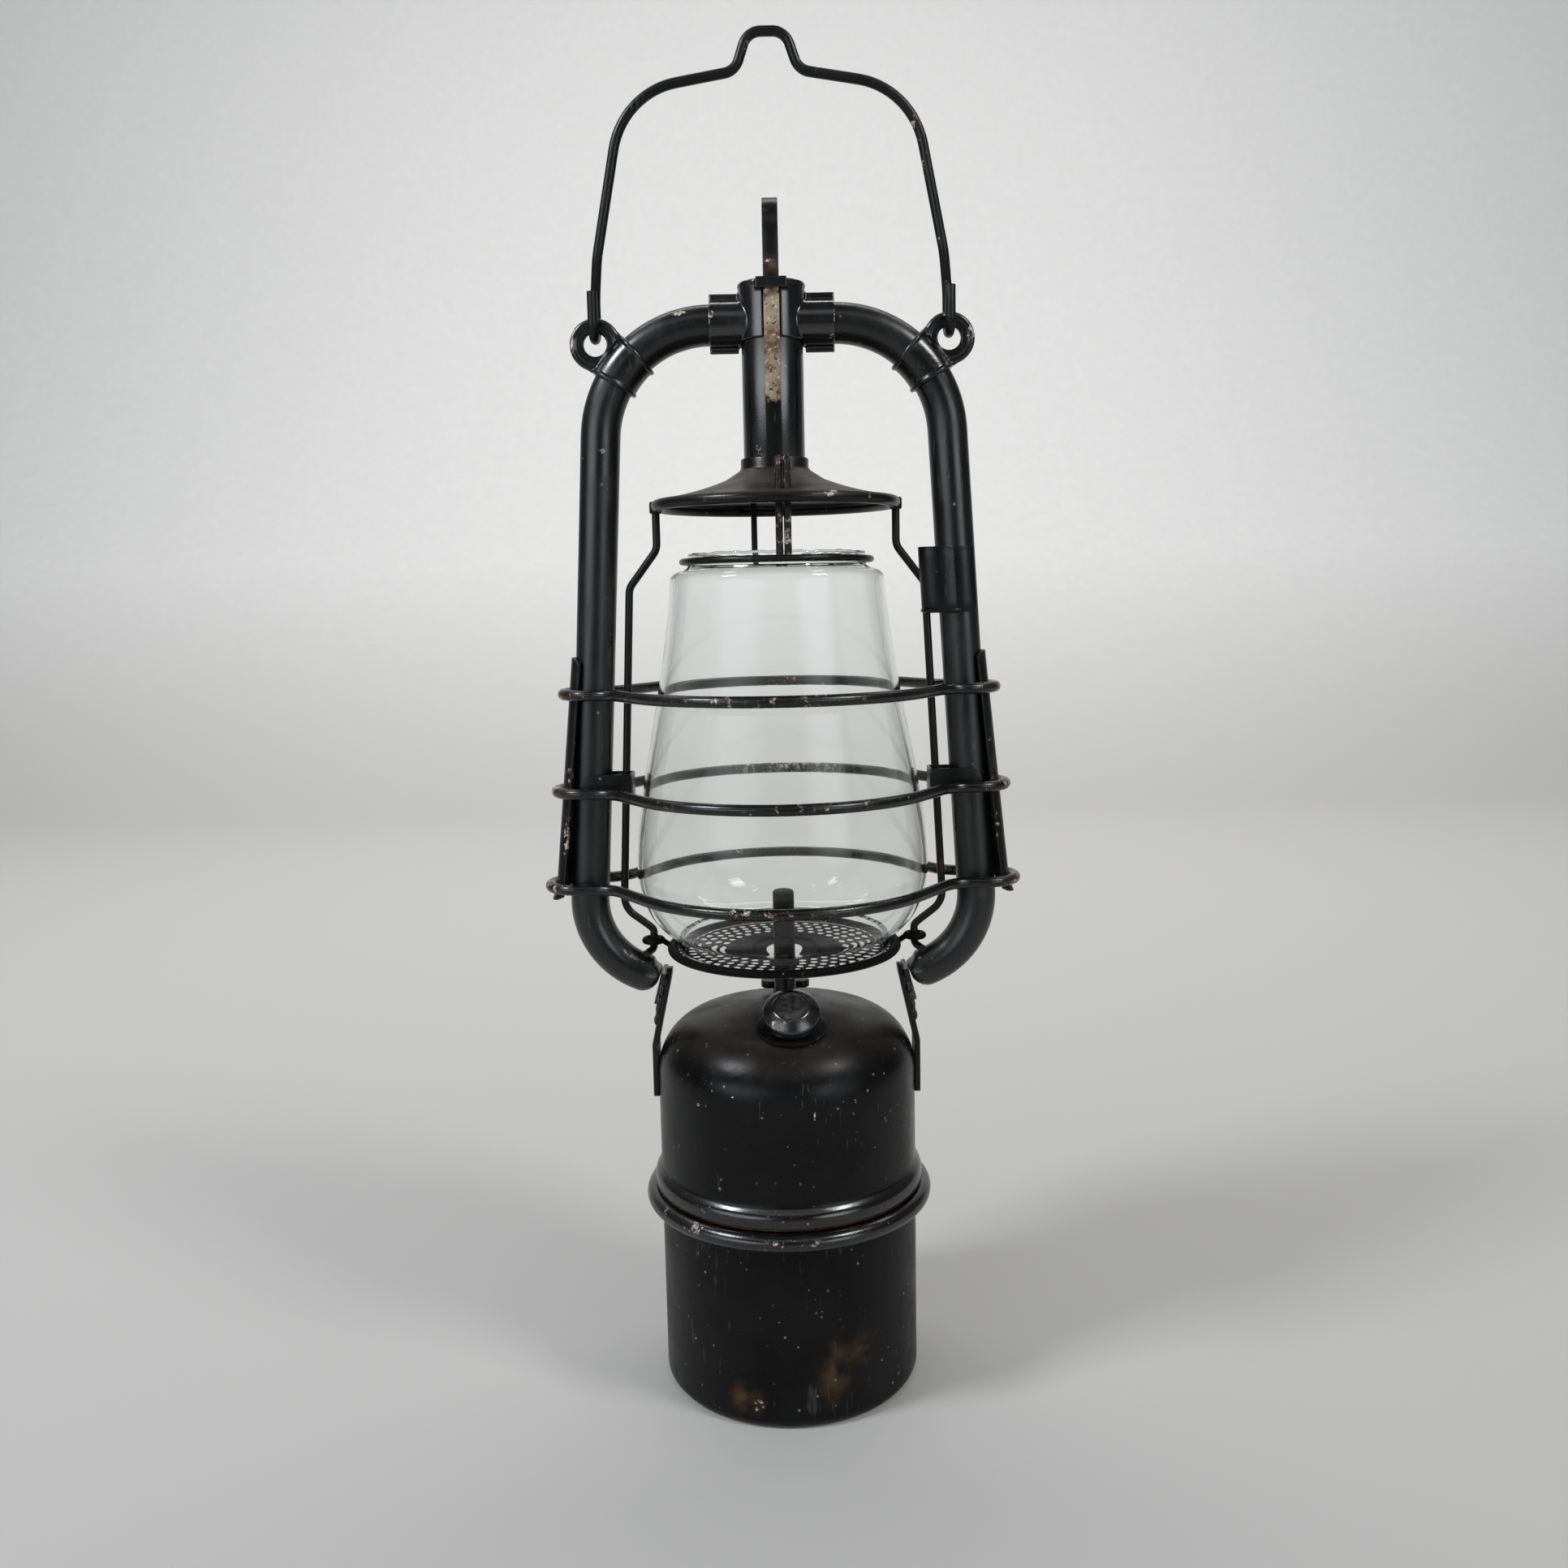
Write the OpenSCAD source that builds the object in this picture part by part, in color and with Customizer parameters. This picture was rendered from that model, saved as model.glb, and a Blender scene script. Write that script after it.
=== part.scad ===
// Carbide storm lantern of hurricane form: a two-part canister, a tube frame with guard rings,
// a globe carriage that lifts on the chimney, and a bail. Millimetres, Z up, base at Z = 0.

/* [Canister] */
// Outer radius of the pot and tank walls
tank_r = 46; // [44:0.5:48]
// Thickness of the canister's sheet
sheet = 0.8; // [0.6:0.1:1]
// Height of the ledge where the tank sits on the pot
seam_z = 72; // [66:0.5:78]
// Radius of the pot's base corner
base_round = 4; // [3:0.5:6]
// Radius of the pot's rolled rim
pot_bead_r = 3.2; // [2.6:0.1:3.6]
// Radius of the roll round the tank's lower edge
skirt_bead_r = 3.3; // [2.9:0.1:3.6]
// Thickness of the gasket between pot and tank
gasket_t = 1.2; // [0.8:0.1:1.6]
// Height of the pot's neck above the ledge
pot_neck_h = 11; // [8:0.5:13]
// Height where the tank's shoulder starts
shoulder_z = 114; // [110:0.5:115]
// Radius of the tank's shoulder
shoulder_r = 20; // [18:0.5:22]
// Height of the tank's crown
crown_z = 137.2; // [136.8:0.2:139]
// Height of the water tank's floor
tank_floor_z = 86; // [85:0.5:90]
// Clearance between the carbide basket's lip and the pot's neck
basket_gap = 2.9; // [1:0.1:5]
// Height of the carbide basket
basket_h = 58; // [40:1:62]

/* [Gas stem, filler and valve] */
// Outer radius of the gas stem
stem_r = 3.8; // [3.2:0.1:4.4]
// Bore radius of the gas stem
stem_bore_r = 2; // [1.5:0.1:2.4]
// Height of the top of the burner tip
burner_top_z = 178; // [172:0.5:184]
// Length of the burner tip
burner_tip_l = 16; // [12:0.5:18]
// Distance of the filler's foot in from the tank's wall
filler_inset = 22.5; // [22:0.5:24]
// Sideways offset of the filler's foot
filler_x = 2; // [0:0.5:4]
// Lean of the filler away from the vertical
filler_lean = 34; // [28:1:38]
// Outer radius of the filler cap
cap_r = 9.8; // [9.4:0.1:10.4]
// Height of the filler cap
cap_h = 6; // [5:0.1:7]
// Outer radius of the filler neck
neck_r = 7.2; // [6.8:0.1:7.5]
// Length of the filler neck above its foot
neck_l = 8.2; // [7.8:0.1:9]
// Distance of the valve from the axis
valve_y = 16; // [14.5:0.5:18]
// Length of the valve knob's wing
knob_l = 17.8; // [15:0.2:19]
// Thickness of the valve knob
knob_t = 2.6; // [2.2:0.1:3.2]
// Radius of the drip tube
drip_r = 2.5; // [2.2:0.1:3]

/* [Tube frame] */
// Outer radius of the side tubes
tube_r = 6.75; // [6.3:0.05:7]
// Wall of the side tubes
tube_wall = 0.7; // [0.5:0.1:1]
// How far the tubes' top corners stand outside the guard rings' radius
frame_gap = 1.8; // [0.5:0.1:3]
// Height of the tubes where they enter the hub
hub_z = 372; // [370:0.2:374]
// Lean of the side tubes from the vertical
tube_lean = 3.44; // [3.2:0.02:3.6]
// Centreline radius of the top bend
top_bend_r = 38; // [36:0.5:39]
// Height where the straight run meets the line of the foot
foot_corner_z = 156; // [154.5:0.5:157.5]
// Centreline radius of the bottom bend
foot_bend_r = 28; // [26:0.5:29]
// Slope of the tube's foot below the horizontal
foot_slope = 20; // [17:1:22]
// Width of the two straps on the tank
strap_w = 11; // [9:0.5:13]
// Thickness of the straps
strap_t = 2; // [1.6:0.1:2.2]
// Height of a strap's lower end
strap_low_z = 103; // [98:0.5:106]
// Height of a strap's upper end
strap_top_z = 150.6; // [149.6:0.2:151.6]

/* [Chimney, hub and ears] */
// Outer radius of the chimney tube
chimney_r = 10.4; // [9.8:0.1:10.5]
// Height of the chimney's lower end
chimney_low_z = 320; // [318:0.5:321]
// Radius of the hub barrel
hub_r = 11.2; // [11:0.1:11.6]
// Height of the hub's top rim
hub_top_z = 385; // [384:0.2:386]
// Half length of the hub's cross sleeves
sleeve_half_l = 21; // [19:0.5:21.5]
// Angle of the ears up the top bend
ear_angle = 40; // [38:0.5:42]
// Distance of an ear's eye from the tube's centreline
ear_reach = 12.4; // [12:0.1:12.6]
// Outer radius of an ear's eye
eye_r = 8.7; // [8.4:0.1:9]
// Hole radius of an ear's eye
eye_hole_r = 3.9; // [3.8:0.05:4.1]
// Thickness of an ear's rim
eye_rim_t = 2.8; // [2.6:0.1:2.9]
// Width of an ear's band along the tube
band_w = 12; // [10:0.5:13]

/* [Guard] */
// Radius of the guard wire
ring_wire_r = 2; // [1.6:0.1:2.1]
// Height of the lower guard ring
ring_low_z = 181.5; // [180:0.5:183]
// Height of the middle guard ring
ring_mid_z = 215; // [213.5:0.5:216.5]
// Height of the upper guard ring
ring_top_z = 249; // [247:0.5:251]
// Centreline radius of the rings in front of and behind the globe
ring_r = 55; // [54.5:0.25:57]
// Centreline radius of the rings round the side tubes
ring_turn_r = 10.9; // [10.8:0.1:11.5]
// How far the lower ring's turns stand out beyond those of the upper ring, past the tubes' own lean
guard_flare = 3; // [1.5:0.5:4]
// Thickness of the guard strips
guard_strip_t = 0.9; // [0.7:0.1:1]
// Angle that a guard strip covers round its tube
guard_strip_angle = 106; // [90:2:120]
// Height of the guard strips' lower ends
guard_strip_low_z = 175.5; // [174:0.5:176.5]
// Height of the guard strips' upper ends
guard_strip_top_z = 261; // [257:0.5:264]

/* [Globe carriage] */
// Radius of the side wires
side_wire_r = 1.35; // [1.1:0.05:1.45]
// Radius of the hood
hood_r = 42.5; // [41.5:0.25:43]
// Radius of the hood's rolled edge
hood_bead_r = 1.9; // [1.6:0.1:2]
// Height of the hood's rolled edge
hood_rim_z = 312.4; // [311:0.2:313]
// Height of the foot of the hood's collar
collar_z = 323; // [322:0.2:324]
// Height of the hood's collar
collar_h = 4.6; // [4:0.2:6]
// Width of the lift strip
lift_strip_w = 5.2; // [4.6:0.1:5.6]
// Thickness of the lift strip
lift_strip_t = 1; // [0.8:0.1:1.2]
// Outer radius of the finger loop
loop_r = 13.6; // [12.5:0.1:14]
// Height of the gallery plate's underside
gallery_z = 157.5; // [157:0.1:158.5]
// Thickness of the gallery plate
gallery_t = 0.5; // [0.4:0.1:0.8]
// Centreline radius of the gallery's rolled edge
gallery_r = 40; // [39.5:0.25:40.5]
// Radius of the gallery's rolled edge
gallery_bead_r = 1.5; // [1.3:0.1:1.7]
// Radius of the centre hole in the gallery
gallery_hole_r = 6.4; // [5.5:0.1:8]
// Rows of holes in the gallery
gallery_rows = 5; // [3:1:5]
// Distance between the holes along a row
gallery_pitch = 4.1; // [3.6:0.1:5]
// Radius of the gallery's holes
gallery_hole_size = 1.25; // [1:0.05:1.4]

/* [Globe] */
// Height of the globe
globe_h = 138.4; // [137:0.2:139]
// Radius of the globe's foot
globe_foot_r = 37.4; // [36:0.1:37.5]
// Clearance between the globe's belly and the guard rings
globe_gap = 1.8; // [1.6:0.1:2.5]
// Radius of the globe's shoulder
globe_shoulder_r = 37; // [36:0.25:38]
// Radius of the globe's top neck
globe_neck_r = 30.5; // [29.5:0.1:30.7]
// Thickness of the glass
glass_t = 2; // [1.5:0.1:2.5]
// Radius of the globe ring's wire
globe_ring_wire_r = 1.1; // [0.9:0.05:1.2]
// Gap between the two wires of the front stay
stay_gap = 0.3; // [0.2:0.05:0.4]
// Radius of the front stay's wires
stay_wire_r = 1.2; // [1:0.05:1.3]

/* [Bail] */
// Radius of the bail wire
bail_wire_r = 1.7; // [1.5:0.05:1.75]
// Height of the bail's crook
bail_top_z = 466.5; // [462:0.5:470]
// Half width of the bail at its shoulders
bail_shoulder_half_w = 47.8; // [46:0.2:49]
// Height of the bail's shoulders
bail_shoulder_z = 446.4; // [445:0.2:448]

/* [Hidden] */
$fn = 64;

// Clearances: between sliding pieces, between soldered pieces, and a cut's overrun
slide_gap = 0.3;
solder_gap = 0.1;
over = 1;

enamel = [0.05, 0.05, 0.055];
bare_iron = [0.45, 0.38, 0.3];
black_rubber = [0.12, 0.11, 0.1];
brass = [0.55, 0.45, 0.25];
clear_glass = [0.85, 0.9, 0.88, 0.35];

// Straight pieces and elbows of a bent rod
function unit(v) = v / norm(v);
function reversed(v) = [for (i = [len(v) - 1:-1:0]) v[i]];
function turn(a, b, c) = acos(max(-1, min(1, unit(b - a) * unit(c - b))));
function trim(a, b, c, bend) = bend * tan(turn(a, b, c) / 2);

module rod_between(a, b, r) {
    d = b - a;
    translate(a) rotate([0, acos(d.z / norm(d)), atan2(d.y, d.x)]) cylinder(h = norm(d), r = r);
}

module rod_elbow(a, b, c, bend, r) {
    u = unit(b - a);
    v = unit(c - b);
    n = unit(v - u * (u * v));
    centre = b - u * trim(a, b, c, bend) + n * bend;
    z = cross(-n, u);
    multmatrix([
        [-n.x, u.x, z.x, centre.x],
        [-n.y, u.y, z.y, centre.y],
        [-n.z, u.z, z.z, centre.z]
    ]) rotate_extrude(angle = turn(a, b, c)) translate([bend, 0]) circle(r, $fn = 24);
}

// A rod through corner points, each corner rounded to its own bend radius
module bent_rod(p, bends, r) {
    last = len(p) - 1;
    trims = [for (i = [0:last]) i == 0 || i == last ? 0 : trim(p[i - 1], p[i], p[i + 1], bends[i])];
    for (i = [0:last - 1]) {
        u = unit(p[i + 1] - p[i]);
        rod_between(p[i] + u * trims[i], p[i + 1] - u * trims[i + 1], r, $fn = 24);
    }
    for (i = [1:last - 1]) rod_elbow(p[i - 1], p[i], p[i + 1], bends[i], r);
}

// Points round one bend of a wire, from the end of one straight to the start of the next
function bend_points(a, b, c, bend, step) =
    let (u = unit(b - a), v = unit(c - b), angle = turn(a, b, c))
    let (n = unit(v - u * (u * v)), start = b - u * trim(a, b, c, bend))
    let (count = max(2, ceil(angle / step)))
    [for (k = [0:count]) let (t = angle * k / count)
        start + u * bend * sin(t) + n * bend * (1 - cos(t))];

// A wire's centreline through its corner points; a closed one joins its ends
function wire_line(p, bends, step, closed) =
    let (count = len(p))
    [for (i = [0:count - 1])
        let (before = p[(i + count - 1) % count], after = p[(i + 1) % count])
        for (q = !closed && (i == 0 || i == count - 1) ? [p[i]]
            : bend_points(before, p[i], after, bends[i], step)) q];

// The centreline without points that fall on the one before
function thinned(q) = [for (i = [0:len(q) - 1]) if (i == 0 || norm(q[i] - q[i - 1]) > 0.05) q[i]];

// Direction at each point, and a side vector carried along without twist
function directions(q, closed) =
    let (count = len(q))
    [for (i = [0:count - 1]) unit(
        q[closed ? (i + 1) % count : min(i + 1, count - 1)]
        - q[closed ? (i + count - 1) % count : max(i - 1, 0)])];
function carried(t, side, i = 0) =
    i == len(t) ? [] : let (m = unit(side - t[i] * (side * t[i]))) concat([m], carried(t, m, i + 1));

// A wire of round section swept along its centreline
module swept_wire(p, bends, r, side, closed = false, sides = 10, step = 15) {
    q = let (line = thinned(wire_line(p, bends, step, closed)))
        closed && norm(line[0] - line[len(line) - 1]) < 0.05 ? [for (i = [1:len(line) - 1]) line[i]] : line;
    t = directions(q, closed);
    n = carried(t, side);
    count = len(q);
    points = [for (i = [0:count - 1], k = [0:sides - 1])
        q[i] + r * (n[i] * cos(360 * k / sides) + cross(t[i], n[i]) * sin(360 * k / sides))];
    spans = closed ? count : count - 1;
    walls = [for (i = [0:spans - 1], k = [0:sides - 1])
        let (a = i * sides, b = ((i + 1) % count) * sides, m = (k + 1) % sides)
        for (f = [[a + k, b + k, a + m], [a + m, b + k, b + m]]) f];
    ends = closed ? [] : [[for (k = [0:sides - 1]) k], [for (k = [sides - 1:-1:0]) (count - 1) * sides + k]];
    polyhedron(points, concat(walls, ends));
}

// A flat outline with its corners rounded by true arcs, centred on the origin
module rounded_plate(w, h, r) {
    square([w - 2 * r, h], center = true);
    square([w, h - 2 * r], center = true);
    for (x = [-1, 1], y = [-1, 1]) translate([x * (w / 2 - r), y * (h / 2 - r)]) circle(r);
}

// The half of a wall-like ring section between two radii
module wall_section(r_in, r_out, z_low, z_high) {
    translate([r_in, z_low]) square([r_out - r_in, z_high - z_low]);
}

// Canister: derived sizes
pot_inner_r = tank_r - sheet;
pot_neck_r = pot_inner_r - slide_gap;
basket_lip = 1.2;
basket_r = pot_neck_r - sheet - basket_gap - basket_lip;
gasket_in_r = pot_inner_r + solder_gap;
gasket_out_r = tank_r + 0.6;
tank_low_z = seam_z + gasket_t;
bead_centre_r = tank_r + 2.3;
skirt_bulge = 2.3;
skirt_rise = 2.6;
skirt_centre_r = tank_r + skirt_bulge - skirt_bead_r;

// The crown is a ball that runs tangent into the shoulder
crown_drop = crown_z - shoulder_r - shoulder_z;
shoulder_in = tank_r - shoulder_r;
crown_centre_z = shoulder_z - (shoulder_in * shoulder_in / crown_drop - crown_drop) / 2;
crown_r = crown_z - crown_centre_z;
crown_tangent = atan2(shoulder_in, shoulder_z - crown_centre_z);
function crown_height(r) = crown_centre_z + sqrt(crown_r * crown_r - r * r);

// The tank's filled outline, drawn in by an inset
module tank_outline(inset, z_low) {
    wedge = crown_r + over;
    translate([0, z_low]) square([tank_r - inset, shoulder_z - z_low]);
    translate([shoulder_in, shoulder_z]) intersection() {
        circle(shoulder_r - inset, $fn = 96);
        translate([0, -over]) square(shoulder_r + over);
    }
    intersection() {
        translate([0, crown_centre_z]) circle(crown_r - inset, $fn = 256);
        translate([0, crown_centre_z])
            polygon([[0, 0], [0, wedge], [wedge * tan(crown_tangent), wedge]]);
    }
    polygon([[0, shoulder_z - over], [0, shoulder_z + crown_drop],
        [shoulder_in, shoulder_z + crown_drop], [shoulder_in, shoulder_z - over]]);
}

// Solid that fills the tank, for cutting what sits on its crown
module crown_ball(grow = 0) {
    translate([0, 0, crown_centre_z]) sphere(crown_r + grow, $fn = 128);
}

module carbide_pot() {
    color(enamel) rotate_extrude($fn = 96) {
        wall_section(pot_inner_r, tank_r, base_round, seam_z - pot_bead_r);
        wall_section(0, tank_r - base_round, 0, sheet);
        translate([tank_r - base_round, base_round]) difference() {
            intersection() {
                circle(base_round);
                translate([0, -base_round]) square(base_round);
            }
            circle(base_round - sheet);
        }
        intersection() {
            translate([bead_centre_r, seam_z - pot_bead_r]) circle(pot_bead_r);
            wall_section(pot_neck_r - sheet, tank_r + 2 * pot_bead_r, 0, seam_z);
        }
        wall_section(pot_neck_r - sheet, bead_centre_r, seam_z - pot_bead_r, seam_z);
        wall_section(pot_neck_r - sheet, pot_neck_r, seam_z - pot_bead_r, seam_z + pot_neck_h);
    }
}

// Open cup for the carbide, standing on the pot's floor
module carbide_basket() {
    color(bare_iron) rotate_extrude($fn = 96) {
        wall_section(0, basket_r, sheet, 2 * sheet);
        wall_section(basket_r - sheet, basket_r, sheet, sheet + basket_h);
        wall_section(basket_r - sheet, basket_r + basket_lip, basket_h, sheet + basket_h);
    }
}

module pot_gasket() {
    color(black_rubber) rotate_extrude($fn = 96)
        wall_section(gasket_in_r, gasket_out_r, seam_z, seam_z + gasket_t);
}

module water_tank() {
    color(enamel) difference() {
        rotate_extrude($fn = 128) difference() {
            union() {
                tank_outline(0, tank_low_z);
                translate([skirt_centre_r, tank_low_z + skirt_rise]) circle(skirt_bead_r);
            }
            tank_outline(sheet, seam_z - over);
            wall_section(0, pot_inner_r, seam_z - over, shoulder_z - over);
            wall_section(0, tank_r + 2 * skirt_bead_r, seam_z - over, tank_low_z);
        }
        cylinder(h = crown_z + over, r = stem_r + solder_gap);
        translate([0, valve_y, 0]) cylinder(h = crown_z + over, r = drip_r);
        filler_place() translate([0, 0, -neck_l]) cylinder(h = 2 * neck_l, r = neck_bore_r);
    }
}

// Partition between the water and the gas space, soldered inside the tank's wall
module tank_floor() {
    color(bare_iron) difference() {
        translate([0, 0, tank_floor_z]) cylinder(h = sheet, r = pot_inner_r - solder_gap, $fn = 96);
        translate([0, 0, tank_floor_z - over]) cylinder(h = 3 * over, r = stem_r + solder_gap);
        translate([0, valve_y, tank_floor_z - over]) cylinder(h = 3 * over, r = drip_r + solder_gap);
    }
}

// Tube that lets water drip from the valve into the basket
module drip_tube() {
    drip_bore_r = drip_r - 0.8;
    drip_low_z = basket_h;
    drip_top_z = crown_height(valve_y) - 10;
    color(brass) translate([0, valve_y, drip_low_z]) difference() {
        cylinder(h = drip_top_z - drip_low_z, r = drip_r);
        translate([0, 0, -over]) cylinder(h = drip_top_z, r = drip_bore_r);
    }
}

module gas_stem() {
    color(enamel) translate([0, 0, tank_floor_z - 3]) difference() {
        cylinder(h = burner_top_z - burner_tip_l - tank_floor_z + 3, r = stem_r);
        translate([0, 0, -over]) cylinder(h = burner_top_z, r = stem_bore_r);
    }
}

// Plain gas jet that closes the stem, with a rounded top edge and one jet hole
module burner_tip() {
    edge = 1;
    jet_r = 0.6;
    color(enamel) translate([0, 0, burner_top_z - burner_tip_l]) rotate_extrude() difference() {
        union() {
            square([stem_r - edge, burner_tip_l]);
            square([stem_r, burner_tip_l - edge]);
            translate([stem_r - edge, burner_tip_l - edge]) circle(edge);
        }
        square([stem_bore_r, burner_tip_l - 4]);
        square([jet_r, burner_tip_l + over]);
    }
}

// Filler: its axis leans away from the vertical, through a foot on the crown
filler_foot_r = tank_r - filler_inset;
neck_bore_r = neck_r - 1.6;
foot_flange_r = neck_r + 5.2;
module filler_place() {
    translate([filler_x, -filler_foot_r, crown_height(norm([filler_x, filler_foot_r]))])
        rotate([filler_lean, 0, 0]) children();
}

module filler_neck() {
    flange_t = 0.9;
    color(enamel) difference() {
        union() {
            filler_place() translate([0, 0, -neck_l]) cylinder(h = 2 * neck_l, r = neck_r);
            intersection() {
                filler_place() cylinder(h = 4 * neck_l, r = foot_flange_r, center = true);
                crown_ball(flange_t);
            }
        }
        filler_place() translate([0, 0, -2 * neck_l]) cylinder(h = 4 * neck_l, r = neck_bore_r);
        crown_ball(solder_gap);
    }
}

// Washer on the neck's rim
washer_t = 1;
module filler_washer() {
    color(black_rubber) filler_place() translate([0, 0, neck_l]) difference() {
        cylinder(h = washer_t, r = neck_r + 0.4);
        translate([0, 0, -over]) cylinder(h = washer_t + 2 * over, r = neck_bore_r);
    }
}

// Screw cap: a skirt over the neck, a chamfered shoulder and a sunk centre disc
module filler_cap() {
    top_t = 2.2;
    chamfer = 3.3;
    disc_r = cap_r - 4.4;
    disc_sink = 0.7;
    skirt_in_r = neck_r + 0.4 + slide_gap;
    color(enamel) filler_place() translate([0, 0, neck_l + washer_t + top_t - cap_h])
        rotate_extrude() difference() {
            polygon([[0, 0], [cap_r, 0], [cap_r, cap_h - chamfer], [cap_r - chamfer, cap_h], [0, cap_h]]);
            square([skirt_in_r, cap_h - top_t]);
            translate([0, cap_h - disc_sink]) square([disc_r, over]);
        }
}

// Valve: gland on the crown, spindle and winged knob
gland_r = 4.4;
gland_h = 1.6;
spindle_r = 1.3;
knob_low_z = crown_height(valve_y) + gland_h + slide_gap;
module valve_gland() {
    color(enamel) difference() {
        translate([0, valve_y, crown_height(valve_y) - gland_h]) cylinder(h = 2 * gland_h, r = gland_r);
        translate([0, valve_y, 0]) cylinder(h = 2 * crown_z, r = spindle_r + slide_gap);
        crown_ball(solder_gap);
    }
}

module valve_spindle() {
    spindle_low_z = crown_height(valve_y) - 9.5;
    color(brass) translate([0, valve_y, spindle_low_z])
        cylinder(h = knob_low_z - spindle_low_z, r = spindle_r);
}

module valve_knob() {
    wing_w = 6.4;
    color(enamel) translate([0, valve_y, knob_low_z]) {
        linear_extrude(knob_t) {
            square([knob_l - wing_w, wing_w], center = true);
            for (x = [-1, 1]) translate([x * (knob_l - wing_w) / 2, 0]) circle(wing_w / 2);
            circle(wing_w / 2 + 0.8);
        }
    }
}

// Straps: up the tank's wall, then leaning in above the shoulder
strap_bend_z = shoulder_z + 9;
strap_lean_in = 6;
strap_in_r = tank_r + solder_gap;
function strap_face(z) = strap_in_r - strap_lean_in * (z - strap_bend_z) / (strap_top_z - strap_bend_z);
module strap() {
    strap_angle = 2 * asin(strap_w / tank_r);
    color(enamel) intersection() {
        rotate([0, 0, -strap_angle / 2]) rotate_extrude(angle = strap_angle) polygon([
            [strap_in_r, strap_low_z], [strap_in_r + strap_t, strap_low_z],
            [strap_in_r + strap_t, strap_bend_z], [strap_face(strap_top_z) + strap_t, strap_top_z],
            [strap_face(strap_top_z), strap_top_z], [strap_in_r, strap_bend_z]
        ]);
        translate([0, 0, (strap_low_z + strap_top_z) / 2]) rotate([90, 0, 90])
            linear_extrude(2 * tank_r) rounded_plate(strap_w, strap_top_z - strap_low_z, strap_w / 2 - 0.5);
    }
}
module strap_right() { strap(); }
module strap_left() { mirror([1, 0, 0]) strap(); }

// Side tubes: out of the hub, down the side and in to a foot pinched onto the strap
frame_half_w = ring_r + frame_gap;
function tube_x(z) = frame_half_w + (hub_z - z) * tan(tube_lean);
hub_corner = [frame_half_w, 0, hub_z];
foot_corner = [tube_x(foot_corner_z), 0, foot_corner_z];
foot_dir = [-cos(foot_slope), 0, -sin(foot_slope)];
foot_far = foot_corner + 2 * foot_bend_r * foot_dir;
foot_end = foot_corner + trim(hub_corner, foot_corner, foot_far, foot_bend_r) * foot_dir;
tube_start = [hub_r + 1, 0, hub_z];
tube_sides = 16;
tube_step = 11;

// One section of a tube in the plane of the frame, drawn flat across its heading where it is pinched
function tube_section(centre, heading, half_t, half_w) =
    let (n = cross(heading, [0, 1, 0]))
    [for (k = [0:tube_sides - 1])
        centre + n * half_t * cos(360 * k / tube_sides) + [0, half_w * sin(360 * k / tube_sides), 0]];

// The foot's sections: pressed flat above the strap's face, then folded down along it
pinch_z = foot_end.z - 2.6;
pinch_half_t = 0.75;
lip_top_z = pinch_z - 4.2;
lip_low_z = pinch_z - 8.6;
lip_half_w = 1.15 * tube_r;
function tab_x(z) = strap_face(z) + strap_t + solder_gap + pinch_half_t;
function foot_sections() = [
    tube_section(foot_end + 3 * foot_dir, foot_dir, 0.85 * tube_r, 1.08 * tube_r),
    tube_section([tab_x(pinch_z) + 1.3, 0, pinch_z], unit([-1, 0, -0.5]), 0.53 * tube_r, 1.2 * tube_r),
    tube_section([tab_x(lip_top_z) + 0.4, 0, lip_top_z], unit([-0.4, 0, -1]), 1, lip_half_w),
    tube_section([tab_x(lip_low_z), 0, lip_low_z], [0, 0, -1], pinch_half_t, strap_w / 2)
];

// A tube with a closed bore: outer skin to the pinched tip, inner skin to the end of the last bend
module side_tube() {
    corners = [tube_start, hub_corner, foot_corner, foot_end];
    q = thinned(wire_line(corners, [0, top_bend_r, foot_bend_r, 0], tube_step, false));
    t = directions(q, false);
    inner = [for (i = [0:len(q) - 1]) tube_section(q[i], t[i], tube_r - tube_wall, tube_r - tube_wall)];
    outer = concat([for (i = [0:len(q) - 1]) tube_section(q[i], t[i], tube_r, tube_r)], foot_sections());
    rows = concat(reversed(inner), outer);
    count = len(rows);
    s = tube_sides;
    walls = [for (i = [0:count - 2], k = [0:s - 1])
        let (a = i * s, b = (i + 1) * s, m = (k + 1) % s)
        for (f = [[a + k, a + m, b + k], [a + m, b + m, b + k]]) f];
    ends = [[for (k = [s - 1:-1:0]) k], [for (k = [0:s - 1]) (count - 1) * s + k]];
    color(enamel) polyhedron([for (row = rows) each row], concat(walls, ends));
}
module side_tube_right() { side_tube(); }
module side_tube_left() { mirror([1, 0, 0]) side_tube(); }

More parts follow.
